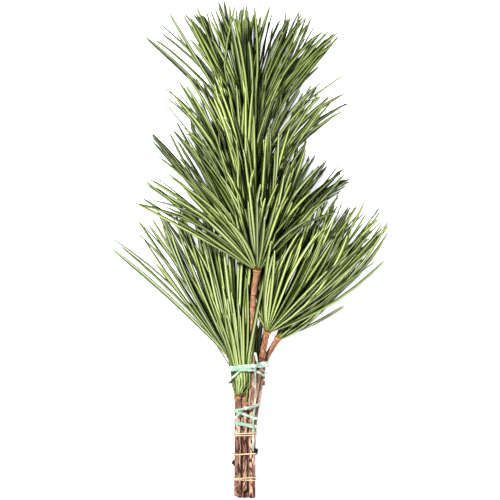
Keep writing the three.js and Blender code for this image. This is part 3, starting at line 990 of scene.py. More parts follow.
class Thicket:
    """All straight pieces of stems, collars and needles that are laid, to keep new needles clear of."""

    MOST = 12000
    PARALLEL = 1e-9

    def __init__(self) -> None:
        """Starts with nothing laid."""
        self.count = 0
        self.starts = np.zeros((self.MOST, 3))
        self.ends = np.zeros((self.MOST, 3))
        self.radii = np.zeros(self.MOST)
        self.owners = np.zeros(self.MOST, int)
        self.orders = np.zeros(self.MOST, int)
        self.names: dict[str, int] = {}

    def number(self, owner: str) -> int:
        """Returns an owner's number."""
        return self.names.setdefault(owner, len(self.names))

    def lay(self, points: np.ndarray, radii: list[float], owner: str) -> None:
        """Lays the straight pieces between points, each as thick as its thicker end.

        Args:
            points: The points.
            radii: The half widths there.
            owner: What the pieces belong to.
        """
        for order in range(len(points) - 1):
            self.starts[self.count] = points[order]
            self.ends[self.count] = points[order + 1]
            self.radii[self.count] = max(radii[order], radii[order + 1])
            self.owners[self.count] = self.number(owner)
            self.orders[self.count] = order
            self.count += 1

    def distances(self, a: np.ndarray, b: np.ndarray) -> np.ndarray:
        """Measures how far a straight piece is from each piece that is laid.

        Args:
            a: Its start.
            b: Its end.

        Returns:
            The least distances.
        """
        starts, ends = self.starts[: self.count], self.ends[: self.count]
        u, v, w = b - a, ends - starts, a - starts
        uu, vv, uv = float(u @ u), np.sum(v * v, axis=1), v @ u
        uw, vw = w @ u, np.sum(v * w, axis=1)
        square = uu * vv - uv * uv
        apart = square > self.PARALLEL
        s = np.where(apart, np.clip((uv * vw - uw * vv) / np.where(apart, square, 1), 0, 1), 0)
        t = (uv * s + vw) / vv
        s = np.where(t < 0, np.clip(-uw / uu, 0, 1), s)
        s = np.where(t > 1, np.clip((uv - uw) / uu, 0, 1), s)
        t = np.clip(t, 0, 1)
        return np.linalg.norm(w + s[:, None] * u - t[:, None] * v, axis=1)

    def is_clear(
        self, points: np.ndarray, radii: list[float], owner: str, first: int, keep: Clearance
    ) -> bool:
        """Tells whether a needle's course misses all that is laid but the collar that it grows from.

        Args:
            points: The course.
            radii: Its half widths.
            owner: Its whorl.
            first: The first piece of the course that is tested.
            keep: How far it keeps away.

        Returns:
            Whether it is clear.
        """
        owners, orders = self.owners[: self.count], self.orders[: self.count]
        others = self.radii[: self.count]
        own = owners == self.number(owner)
        free = owners == self.number(f"{owner} collar")
        for i in range(first, len(points) - 1):
            both = (max(radii[i], radii[i + 1]) + others) * keep.slim
            least = np.where(own, both * keep.closeness, both + keep.air)
            if i == first:
                least = np.where(own & (orders <= first), keep.roots, least)
            if np.any((self.distances(points[i], points[i + 1]) < least) & ~free):
                return False
        return True


@dataclass
class Seat:
    """Where a whorl sits.

    Attributes:
        centre: The middle of its collar's foot.
        axis: The way that its stem runs there.
        ringed: Whether it sits round a stem, and not at its head.
        radius: Its collar's radius.
    """

    centre: np.ndarray
    axis: np.ndarray
    ringed: bool
    radius: float


class Plan:
    """The laid bunch: courses of the stems and seats of the whorls as in the solids, and all needles."""

    TABLE = 1200

    def __init__(self, box: list[list[float]]) -> None:
        """Lays the stems, then each whorl's needles by the solids' rule, then the finer ones between.

        Args:
            box: The solids' lowest and highest corners, in metres.
        """
        self.box = np.array(box) / MM
        self.courses = {name: Course(branch.run) for name, branch in BRANCHES.items()}
        self.tables = {name: self.table(name) for name in BRANCHES}
        self.thicket = Thicket()
        self.loose = Draws(SWAY_SEED)
        self.seats = {name: self.seat(name) for name in WHORLS}
        self.blades: dict[str, list[Blade]] = {name: [] for name in WHORLS}
        for name, course in self.courses.items():
            shares = [i / STEM_PARTS for i in range(STEM_PARTS + 1)]
            points = np.array([course.place(share) for share in shares])
            self.thicket.lay(points, [self.stem_radius(name, share) for share in shares], name)
        for name, seat in self.seats.items():
            core = (-1.0, 1.0) if seat.ringed else (seat.radius * 0.4, seat.radius)
            ends = np.array([seat.centre + seat.axis * along for along in core])
            self.thicket.lay(ends, [seat.radius] * 2, f"{name} collar")
        for order, name in enumerate(WHORLS):
            for place in range(WHORLS[name].count):
                self.try_for(name, place, Draws(SEED_STEP * (order + 1) + place), SOLID_CLEARANCE)
        laid = {name: len(blades) for name, blades in self.blades.items()}
        log.info("needles as in the solids: %s", laid)
        for order, name in enumerate(WHORLS):
            for place in range(WHORLS[name].fill):
                self.try_for(name, place, Draws(FILL_SEED + SEED_STEP * order + place), FILL_CLEARANCE)
        for name, run, breadth in STRAYS:
            course = Course(run)
            points = np.array([course.place(stop) for stop in NEEDLE_STOPS])
            face = square_to(course.tangent(0.5), UP)[0]
            self.blades[name].append(Blade(points, face, False, breadth=breadth, stray=True))
        log.info("needles in all: %s", {name: len(blades) for name, blades in self.blades.items()})

    def stem_radius(self, name: str, share: float) -> float:
        """Returns a stem's radius at a share of its length."""
        return mix(*BRANCHES[name].radius, share)

    def table(self, name: str) -> dict[str, np.ndarray]:
        """Tabulates a stem along Y.

        Args:
            name: The stem.

        Returns:
            Its places, its half width there as seen along Y, and the shares of its length.
        """
        shares = np.linspace(0, 1, self.TABLE)
        course = self.courses[name]
        places = np.array([course.place(share) for share in shares])
        level = np.array([course.tangent(share)[1] for share in shares])
        radii = np.array([self.stem_radius(name, share) for share in shares])
        return {
            "y": places[:, 1], "x": places[:, 0], "z": places[:, 2], "reach": radii / level, "share": shares,
        }

    def seat(self, name: str) -> Seat:
        """Finds a whorl's seat.

        Args:
            name: The whorl.

        Returns:
            Its seat.
        """
        whorl = WHORLS[name]
        stem = whorl.stem or name
        table = self.tables[stem]
        share = float(np.interp(whorl.passes_at, table["y"], table["share"])) if whorl.stem else 1.0
        radius = RING_RADIUS if whorl.stem else whorl.collar
        course = self.courses[stem]
        return Seat(course.place(share), course.tangent(share), bool(whorl.stem), radius)

    def half_widths(self, squeezed: bool) -> list[float]:
        """Works out a needle's half widths.

        Args:
            squeezed: Whether it first runs through a tie.

        Returns:
            The half widths at the points of its course.
        """
        root, *others = NEEDLE_WIDTHS
        lead = [SQUEEZED_WIDTH, SQUEEZED_WIDTH] if squeezed else []
        return [share * NEEDLE_WIDTH / 2 for share in (root, *lead, *others)]

    def try_for(self, name: str, place: int, draw: Draws, keep: Clearance) -> None:
        """Turns a needle a little until it is clear, and lays it, or leaves it out if it never is.

        Args:
            name: The whorl.
            place: The needle's number in its whorl.
            draw: Its draws.
            keep: How far it keeps from what is laid.
        """
        filling = keep is FILL_CLEARANCE
        least = FILL_LOOSE_LEAST if filling else LOOSE_LEAST
        for tries in range(FILL_TRIES if filling else MOST_TRIES):
            loosened = min(least + tries * LOOSE_STEP, LOOSE_MOST)
            blade = self.blade(name, place, loosened, draw, filling)
            radii = self.half_widths(blade.squeezed)
            outside = filling and not self.is_inside(blade.points)
            if outside or np.any(blade.points[:, 2] < FLOOR_HEIGHT):
                continue
            if self.thicket.is_clear(blade.points, radii, name, 2 if blade.squeezed else 0, keep):
                self.thicket.lay(blade.points, radii, name)
                self.blades[name].append(blade)
                return

    def is_inside(self, points: np.ndarray) -> bool:
        """Tells whether a course keeps inside the solids' box.

        Args:
            points: The course.

        Returns:
            Whether it does.
        """
        above = np.all(points > self.box[0] + BOX_MARGIN)
        below = np.all(points < self.box[1] - BOX_MARGIN)
        return bool(above and below)

    def blade(self, name: str, place: int, loosened: float, draw: Draws, filling: bool) -> Blade:
        """Works out one needle's course.

        Args:
            name: The whorl.
            place: The needle's number in its whorl.
            loosened: Degrees that it may be turned by.
            draw: Its draws.
            filling: Whether it is one of the finer ones between the solids' needles.

        Returns:
            The needle.
        """
        whorl, seat = WHORLS[name], self.seats[name]
        around = (place + (FILL_SHIFT if filling else 0.0)) * GOLDEN_TURN
        inner = INNER_SHARE if seat.ringed else 0.0
        share = (place + 0.5) / (whorl.fill * FILL_ROOM if filling else whorl.count)
        out = (inner + (1 - inner) * share) ** (FILL_POWER if filling else OUTWARD_POWER)
        aside, above = out * math.cos(around), out * math.sin(around)
        turn = mix(*whorl.turn, (aside + 1) / 2) + (draw() - 0.5) * loosened
        rise = mix(*whorl.rise, (above + 1) / 2) + (draw() - 0.5) * loosened
        shorter = 1 - clamp((rise - STEEP) / 60, 0, 0.3)
        full = mix(whorl.length[1], whorl.length[0 if aside < 0 else 2], abs(aside))
        length = full * shorter + (draw() - 0.5) * 2 * whorl.spread
        if filling:
            turn = clamp(turn, whorl.turn[0] - WANDER, whorl.turn[1] + WANDER)
            length *= 0.98 - 0.3 * draw() ** 2.5
            if whorl.full_waist and above > 0:
                length *= mix(0.36, 0.7, draw())
        bend = whorl.curl * aside * abs(aside) + (draw() - 0.5) * (FILL_BEND if filling else BEND)
        sag = 0.03 + 0.04 * draw()
        roll = (draw() - 0.5) * 1.3

        across, up = square_to(seat.axis, ACROSS)
        reach = seat.radius - ROOT_DEPTH
        polar = math.pi / 2 if seat.ringed else out * ROOT_SPREAD
        height = RING_ROWS[place % 2] if seat.ringed else seat.radius * 0.6 + reach * math.cos(polar)
        root = seat.centre + seat.axis * height
        root = root + across * (reach * math.sin(polar) * math.cos(around))
        root = root + up * (reach * math.sin(polar) * math.sin(around))
        points = [root]
        start = root
        if whorl.waist and whorl.belly:
            wide = filling and whorl.full_belly and whorl.full_waist
            for gather in (whorl.full_belly, whorl.full_waist) if wide else (whorl.belly, whorl.waist):
                through = np.array(gather.centre) + (gather.half[0] * aside, 0, gather.half[1] * above)
                points.append(through)
            start = points.pop()
        else:
            points = []
        lowest = -math.asin(clamp((start[2] - FLOOR_HEIGHT) / length - sag, 0, 1))
        rise = max(math.radians(rise), lowest)
        turn = math.radians(turn)
        level = math.cos(rise)
        way = np.array([math.sin(turn) * level, math.cos(turn) * level, math.sin(rise)])
        sideways = np.array([math.cos(turn), -math.sin(turn), 0.0])
        for s in NEEDLE_STOPS:
            swung = sideways * (length * bend * s * s)
            sunk = UP * (length * sag * s * s)
            points.append(start + way * (length * s) + swung - sunk)
        outward = way - seat.axis * np.dot(way, seat.axis) + UP * 0.3
        face = turned(square_to(way, outward)[0], way, roll)
        sway = sideways * (whorl.arch * aside + self.loose.around(0.05)) + UP * self.loose.around(0.03)
        breadth = SLIM if filling and whorl.waist else 1.0
        return Blade(np.array(points), face, whorl.waist is not None, sway * length, breadth)

    def stem_discs(self, y: float, but: str = "") -> list[Disc]:
        """Finds the stems where they pass a place along Y.

        Args:
            y: The place.
            but: A stem that is left out.

        Returns:
            Each as X, Z and radius.
        """
        found = []
        for name, table in self.tables.items():
            if name != but and table["y"][0] <= y <= table["y"][-1]:
                x, z, reach = (float(np.interp(y, table["y"], table[key])) for key in ("x", "z", "reach"))
                found.append((x, z, reach))
        return found

    def discs(self, y: float) -> list[Disc]:
        """Finds the stems and the squeezed needles that a tie goes round at a place along Y.

        Args:
            y: The place.

        Returns:
            Each as X, Z and radius.
        """
        found = self.stem_discs(y)
        for whorl in WHORLS.values():
            for belly, waist in ((whorl.belly, whorl.waist), (whorl.full_belly, whorl.full_waist)):
                if not (belly and waist):
                    continue
                share = (y - belly.centre[1]) / (waist.centre[1] - belly.centre[1])
                if not SQUEEZE_FROM <= share <= SQUEEZE_TO:
                    continue
                share = clamp(share, 0, 1)
                x, z = (mix(belly.centre[axis], waist.centre[axis], share) for axis in (0, 2))
                wide, high = (mix(start, end, share) for start, end in zip(belly.half, waist.half))
                shift = max(wide - high, 0)
                radius = high + NEEDLE_WIDTH / 2 + SQUEEZE_ROOM
                found += [(x - shift, z, radius), (x + shift, z, radius)]
        return found


def furthest(discs: list[Disc], nx: float, nz: float) -> Disc:
    """Returns the disc that reaches furthest along a direction across the bunch."""
    return max(discs, key=lambda disc: disc[0] * nx + disc[1] * nz + disc[2])


# The pieces


@dataclass(frozen=True)
class Knot:
    """The torn stub of a lost side twig.

    Attributes:
        y: Its place along Y.
        out: The way that it points.
        size: Its size, as a share of the largest.
        dark: How dark it is: 1 as in a crack, 2 black.
    """

    y: float
    out: Point
    size: float
    dark: float


KNOTS: dict[str, tuple[Knot, ...]] = {
    "front": (Knot(-160.0, (1.0, -0.1, 0.25), 1.0, 2.0),),
    "low_left": (Knot(-169.6, (-1.0, 0.2, 0.1), 0.95, 2.0),),
    "far_right": (Knot(-106.5, (0.9, 0.1, 0.3), 0.8, 0.6),),
}


@dataclass(frozen=True)
class BarkNoise:
    """One of the noises that shape the bark: its scale across and along the branch, and its shift."""

    across: float
    along: float
    shift: float = 0.0

    def at(self, u: float, v: float, along: float, seed: float) -> float:
        """Returns the noise at a place on the bark, from -1 to 1."""
        place = (u * self.across, v * self.across, along * self.along + seed + self.shift)
        return noise.noise(Vector(place))


RIDGES = BarkNoise(0.4, 0.035)
WANDERING = BarkNoise(0.3, 0.09, 3.0)
FINE = BarkNoise(1.2, 0.6)
PATCHES = BarkNoise(0.25, 0.06, 9.0)
BARK_SEED = 40.0
SWELL_MOST = 1.1


@dataclass
class BranchBark:
    """A cut branch: rough bark, stubs of lost twigs and a pale cut end.

    Attributes:
        name: The branch.
        plan: The laid bunch.
        step: Length of bark between two rings.
        upper_step: The same on the smooth upper part.
        fine_to: How far from the cut end the fine part reaches.
        sides: Points round a ring.
        knots: The stubs of lost side twigs.
    """

    name: str
    plan: Plan
    step: float = 0.9
    upper_step: float = 2.4
    fine_to: float = 165.0
    sides: int = 32
    knots: tuple[Knot, ...] = ()

    def relief(self, angle: float, along: float, radius: float) -> tuple[float, float, float]:
        """Works out the bark's relief by angle and place along the branch.

        Args:
            angle: Round the branch.
            along: Millimetres from the cut end.
            radius: The branch's radius there.

        Returns:
            The share of the radius, how deep in a crack the place is, and how dark a patch it lies in.
        """
        seed = BARK_SEED * list(BRANCHES).index(self.name)
        u, v = math.cos(angle) * radius, math.sin(angle) * radius
        ridge = RIDGES.at(u, v, along, seed)
        wander = WANDERING.at(u, v, along, seed) * 1.2
        cell = Vector((u * 0.5 + wander, v * 0.5 - wander, along * 0.055 + seed))
        near, next_near = noise.voronoi(cell)[0][:2]
        crack = 1 - clamp((next_near - near) * 4.0, 0, 1)
        fine = FINE.at(u, v, along, seed)
        knuckle = max(0.0, noise.noise(Vector((seed, 0.5, along * 0.11))))
        foot = 0.2 * clamp(1 - along / 60, 0, 1)
        patch = clamp(0.5 + foot + PATCHES.at(u, v, along, seed), 0, 1)
        rough = clamp(1.25 - along / 140, 0.2, 1.0)
        share = 0.98 + rough * (0.17 * ridge + 0.07 * fine - 0.15 * crack) + 0.1 * knuckle
        return min(share, SWELL_MOST), crack * rough, patch

    def skin(self) -> bpy.types.Mesh:
        """Rolls the bark, with the rim of its cut end drawn in, and paints shade on it where branches touch.

        Returns:
            Its mesh.
        """
        course = self.plan.courses[self.name]
        length = float(course.lengths[-1])
        fine = min(self.fine_to, length)
        places = list(np.arange(self.step, fine, self.step)) + list(np.arange(fine, length, self.upper_step))
        foot = [0.0, 0.0, 0.0, 0.25 / length, 0.6 / length]
        shares = foot + [place / length for place in places] + [1.0, 1.0]
        shrink = [*FOOT_SHRINK, *[1.0] * (len(shares) - len(FOOT_SHRINK) - len(HEAD_SHRINK)), *HEAD_SHRINK]
        rings, tones = [], []
        for share, small in zip(shares, shrink):
            centre, way = course.place(share), course.tangent(share)
            across, up = square_to(way, ACROSS)
            radius = self.plan.stem_radius(self.name, share)
            dished = way * (DISH_DEPTH * (1 - small)) if share == 0 else 0 * way
            ring, tone = [], []
            beside = self.plan.stem_discs(centre[1], but=self.name)
            for side in range(self.sides):
                angle = 2 * math.pi * side / self.sides
                swell, crack, patch = self.relief(angle, share * length, radius)
                reach = radius * small * swell
                place = centre + dished + across * (reach * math.cos(angle)) + up * (reach * math.sin(angle))
                ring.append(place)
                rooms = [math.hypot(place[0] - x, place[2] - z) - r for x, z, r in beside]
                # Painted shade: bark close to another branch is darkened as in a crack.
                touch_shade = clamp(1 - min(rooms, default=CONTACT_SHADE_REACH) / CONTACT_SHADE_REACH, 0, 1)
                tone.append((0.0, CUT) if small < CUT_RIM else (max(crack, touch_shade), patch))
            rings.append(ring)
            tones.append(tone)
        return rolled(f"{self.name}_bark", np.array(rings), np.array(tones))

    def knot(self, knot: Knot) -> bpy.types.Mesh:
        """Rolls the torn stub of a side twig.

        Args:
            knot: Its place and sizes.

        Returns:
            Its mesh.
        """
        table = self.plan.tables[self.name]
        centre = self.plan.courses[self.name].place(float(np.interp(knot.y, table["y"], table["share"])))
        way = unit(np.array(knot.out, float))
        across, up = square_to(way, UP)
        draw = Draws(int(abs(knot.y) * 10))
        rings = []
        for along, radius in KNOT_PROFILE:
            ring = []
            for side in range(KNOT_SIDES):
                angle = 2 * math.pi * side / KNOT_SIDES
                reach = radius * knot.size * (1 + draw.around(0.2))
                lift = along * knot.size + draw.around(0.3)
                lean = up * (reach * KNOT_LENGTH * math.sin(angle))
                ring.append(centre + way * lift + across * (reach * math.cos(angle)) + lean)
            rings.append(ring)
        tones = np.tile([knot.dark, 1.0], (len(rings), KNOT_SIDES, 1))
        return rolled(f"{self.name}_knot", np.array(rings), tones)

    def build(self, finish: bpy.types.Material) -> None:
        """Builds the branch and dresses it.

        Args:
            finish: The bark's material.
        """
        parts = [self.skin()] + [self.knot(knot) for knot in self.knots]
        name = f"branch_{self.name}"
        piece(name, joined(name, parts), "bark", finish, f"stem_{self.name}")


@dataclass
class NeedleWhorl:
    """A whorl of needles: grooved blades with blunt tips on a scaly collar.

    Attributes:
        name: The whorl.
        plan: The laid bunch.
        stations: Shares of its length where a blade has a ring.
        widths: Shares of the full width there.
        heights: Shares of the full thickness there.
        section: The blade's section: places across, in half widths, and up, in millimetres.
        scales: Scales round the collar.
        breadth: The needles' width, as a share of the solids'.
        drawn_in: How far the roots lie from the collar's middle, as a share of the solids'.
        gathered: The same for the needles that a tie squeezes.
        upward: How far the broad sides lean up.
        greens: The materials of the greens.
    """

    name: str
    plan: Plan
    stations: tuple[float, ...] = (0.0, 0.08, 0.2, 0.36, 0.54, 0.72, 0.87, 0.96, 1.0)
    widths: tuple[float, ...] = (0.42, 0.6, 0.82, 0.95, 1.0, 1.0, 0.9, 0.66, 0.24)
    heights: tuple[float, ...] = (0.9, 0.95, 1.0, 1.0, 1.0, 0.95, 0.85, 0.7, 0.4)
    section: Pairs = (
        (-1.0, 0.0), (-0.5, 0.5), (0.0, 0.24), (0.5, 0.5), (1.0, 0.0), (0.45, -0.4), (0.0, -0.2),
        (-0.45, -0.4),
    )
    scales: int = 12
    breadth: float = 1.06
    drawn_in: float = 0.55
    gathered: float = 0.45
    upward: float = 0.7
    greens: dict[Leaf, bpy.types.Material] = field(default_factory=dict)

    def template(self) -> bpy.types.Mesh:
        """Rolls one straight blade: X in half widths, Y the share of its length, Z in millimetres."""
        rings = [[(x, station, z) for x, z in self.section] for station in self.stations]
        return rolled("blade", np.array(rings))

    def path(self, blade: Blade) -> np.ndarray:
        """Works out a blade's course.

        Args:
            blade: The blade.

        Returns:
            Its places at the stations.
        """
        stations = np.array(self.stations)
        if blade.squeezed or blade.stray:
            run = blade.points.copy()
            if blade.squeezed:
                seat = self.plan.seats[self.name]
                run[0] = mix(seat.centre + seat.axis * BUD_TOP, run[0], self.gathered)
            course = Course(tuple(map(tuple, run)))
            return np.array([course.place(share) for share in stations])
        start, end = blade.points[0], blade.points[-1]
        stop = NEEDLE_STOPS[2]
        middle = blade.points[2]
        bow = (middle - start - (end - start) * stop) / (stop * stop - stop)
        way = end - start - bow
        along = stations[:, None]
        root = (self.plan.seats[self.name].centre - start) * (1 - self.drawn_in)
        drawn = root * np.clip(1 - along * ROOT_EASE, 0, 1)
        path = self.settled(start + way * along + bow * along**2 + drawn)
        for ease in SWAY_EASES:
            swung = path + blade.sway * (ease * 4 * along * (1 - along))
            if self.plan.is_inside(swung):
                return swung
        return path

    def settled(self, path: np.ndarray) -> np.ndarray:
        """Turns a blade back towards the whorl's reach where it stands out from it.

        Args:
            path: The blade's places.

        Returns:
            The turned places.
        """
        way = path[-1] - path[0]
        angle = math.degrees(math.atan2(way[0], way[1]))
        back = math.radians((angle - clamp(angle, *WHORLS[self.name].reach)) * SETTLED)
        return path[0] + (path - path[0]) @ np.array(Matrix.Rotation(-back, 3, "Z"))

    def shaped(self, blades: list[Blade], name: str) -> bpy.types.Mesh:
        """Bends a copy of the template along each blade's course, and writes the tone of each in a map:
        mostly its height rank in the whorl, for painted shade and light, and a random value.

        Args:
            blades: The needles.
            name: The mesh's name.

        Returns:
            The needles as one mesh.
        """
        template = self.template()
        count = len(template.vertices)
        flat = np.zeros(count * 3)
        template.vertices.foreach_get("co", flat)
        flat = flat.reshape(-1, 3)
        station = np.abs(flat[:, 1:2] - np.array(self.stations)[None, :]).argmin(axis=1)
        loops = len(template.loops)
        places, tones = [], []
        draw = Draws(BLADE_SEED + len(blades))
        # Needles higher in the whorl get a higher tone U, which the needle materials paint lighter; lower
        # ones are painted darker, as shade.
        heights = np.array([blade.points[-2:, 2].sum() for blade in blades])
        ranks = heights.argsort().argsort() / max(len(blades) - 1, 1)
        for blade, rank in zip(blades, ranks):
            path = self.path(blade)
            ways = unit(np.gradient(path, axis=0))
            normal, side = square_to(ways, blade.face + UP * self.upward)
            twist = draw.around(TWIST) * np.array(self.stations)[:, None]
            lean = normal * np.cos(twist) + side * np.sin(twist)
            side = side * np.cos(twist) - normal * np.sin(twist)
            varied = WIDTH_LEAST + WIDTH_RANGE * draw()
            wide = self.breadth * WHORLS[self.name].slim * blade.breadth * varied
            half = NEEDLE_WIDTH / 2 * wide * np.array(self.widths)[:, None]
            high = np.array(self.heights)[:, None]
            aside = side[station] * flat[:, 0:1] * half[station]
            raised = lean[station] * flat[:, 2:3] * high[station]
            placed = path[station] + (aside + raised)
            placed[:, 2] = np.maximum(placed[:, 2], LOWEST)
            places.append(placed)
            tones.append(np.tile([0.3 * draw() + 0.7 * rank, draw()], loops))
        mesh = joined(name, [template] * len(blades))
        mesh.vertices.foreach_set("co", np.concatenate(places).ravel())
        mesh.uv_layers["tone"].data.foreach_set("uv", np.concatenate(tones))
        mesh.update()
        return mesh

    def scale_blades(self) -> list[Blade]:
        """Lays the short, broad scales that sit round the collar like a bud's.

        Returns:
            The scales.
        """
        seat = self.plan.seats[self.name]
        across, up = square_to(seat.axis, ACROSS)
        draw = Draws(SCALE_SEED + len(self.name))
        blades = []
        radius = self.bud_radius()
        for place in range(self.scales):
            around = place * GOLDEN_TURN
            out = across * math.cos(around) + up * math.sin(around)
            start = seat.centre + out * (radius * SCALE_ROOT) + seat.axis * (radius * (-0.5 + 0.6 * draw()))
            end = seat.centre + out * radius * SCALE_TIP + seat.axis * (radius * (0.6 + 0.6 * draw()))
            bow = out * radius * SCALE_BOW
            points = [start + (end - start) * s + bow * 4 * s * (1 - s) for s in NEEDLE_STOPS]
            blades.append(Blade(np.array(points), out, False, breadth=SCALE_BREADTH))
        return blades

    def bud_radius(self) -> float:
        """Returns the radius of the knob or ring that shows under the roots."""
        return self.plan.seats[self.name].radius * mix(self.drawn_in, 1.0, 0.15)

    def collar(self) -> bpy.types.Mesh:
        """Rolls the knob that the needles grow from, or the ring round a stem.

        Returns:
            Its mesh.
        """
        seat = self.plan.seats[self.name]
        across, up = square_to(seat.axis, ACROSS)
        rings = []
        size = self.bud_radius()
        for along, radius in RING_PROFILE if seat.ringed else BUD_PROFILE:
            centre = seat.centre + seat.axis * (along * size - COLLAR_SUNK)
            ring = []
            for side in range(COLLAR_SIDES):
                angle = 2 * math.pi * side / COLLAR_SIDES
                lump = 1 + COLLAR_LUMP_DEPTH * math.sin(angle * COLLAR_LUMPS + along * 7)
                reach = radius * size * lump
                ring.append(centre + across * reach * math.cos(angle) + up * reach * math.sin(angle))
            rings.append(ring)
        return rolled(f"{self.name}_collar", np.array(rings))

    def build(self, bud: bpy.types.Material) -> None:
        """Builds the needles and their collar, and dresses them.

        Args:
            bud: The collar's material.
        """
        green = self.greens[WHORLS[self.name].leaf]
        needles = self.shaped(self.plan.blades[self.name], f"whorl_{self.name}")
        piece(f"whorl_{self.name}", needles, "needles", green, f"needles_{self.name}")
        scales = self.shaped(self.scale_blades(), f"scales_{self.name}")
        collar = joined(f"collar_{self.name}", [self.collar(), scales])
        piece(f"collar_{self.name}", collar, "bark", bud)


@dataclass(frozen=True)
class Strand:
    """A strand of tape that lies along the top of the bunch.

    Attributes:
        run: The places that it passes, on X and Y.
        first: Its width where it starts.
        last: Its width where it ends.
    """

    run: Pairs
    first: float
    last: float


@dataclass
class Strap:
    """One round of tape, or of a rubber band, drawn tight round the bunch.

    Attributes:
        y: Its place along Y.
        slope: How it falls or rises across X.
        width: Its width.
        thickness: Its thickness.
        gap: Its distance from the bark.
        wave: How unevenly its width is gathered.
        pinch: How far the knot narrows it on top.
        steps: Rings round the bunch.
    """

    y: float
    slope: float
    width: float
    thickness: float
    gap: float = 0.2
    wave: float = 0.12
    pinch: float = 0.0
    steps: int = 110

    def course(self, x: float, top: bool) -> float:
        """Returns the strap's place along Y at a place on X, on the bunch's top or underside."""
        return self.y + self.slope * (x - STEMS_X)


@dataclass
class FoldedStrap(Strap):
    """The round of tape that falls away on both sides of the neck, and runs straight behind.

    Attributes:
        left: Where it starts to fall on the left, on X.
        right: The same on the right.
        falls: How far it falls for each millimetre, on the left and on the right.
        edges: Where it turns to the underside, on the left and on the right.
    """

    left: float = -8.0
    right: float = 3.0
    falls: tuple[float, float] = (1.1, 0.62)
    edges: tuple[float, float] = (-17.5, 13.5)

    def fall(self, x: float) -> float:
        """Returns the strap's place along Y on the bunch's top."""
        return self.y - self.falls[0] * max(0.0, self.left - x) - self.falls[1] * max(0.0, x - self.right)

    def course(self, x: float, top: bool) -> float:
        """Finds the strap's place along Y.

        Args:
            x: The place on X.
            top: Whether it is on the bunch's top, and not on its underside.

        Returns:
            The place along Y.
        """
        if top:
            return self.fall(x)
        share = clamp((x - self.edges[0]) / (self.edges[1] - self.edges[0]), 0, 1)
        return mix(self.fall(self.edges[0]), self.fall(self.edges[1]), share)


STEMS_X = -4.0
RESTING = 1.1
TAPE_NECK_Y = -93.0
TAPE_FOOT_Y = -131.0
PINCH_X, PINCH_REACH = 4.4, 2.2
HULL_STEPS = 180
TOP_DEGREES = range(20, 161, 2)
STRAP_EASES, STRAND_EASES = 6, 4
TAPE_POINTS, BAND_POINTS = 9, 10
STRAND_LIFT, STRAND_THICKNESS, STRAND_STEP = 0.75, 0.3, 0.9
BULK_X, BULK_LIFT, BULK_RADIUS = 2.5, 0.6, 0.9


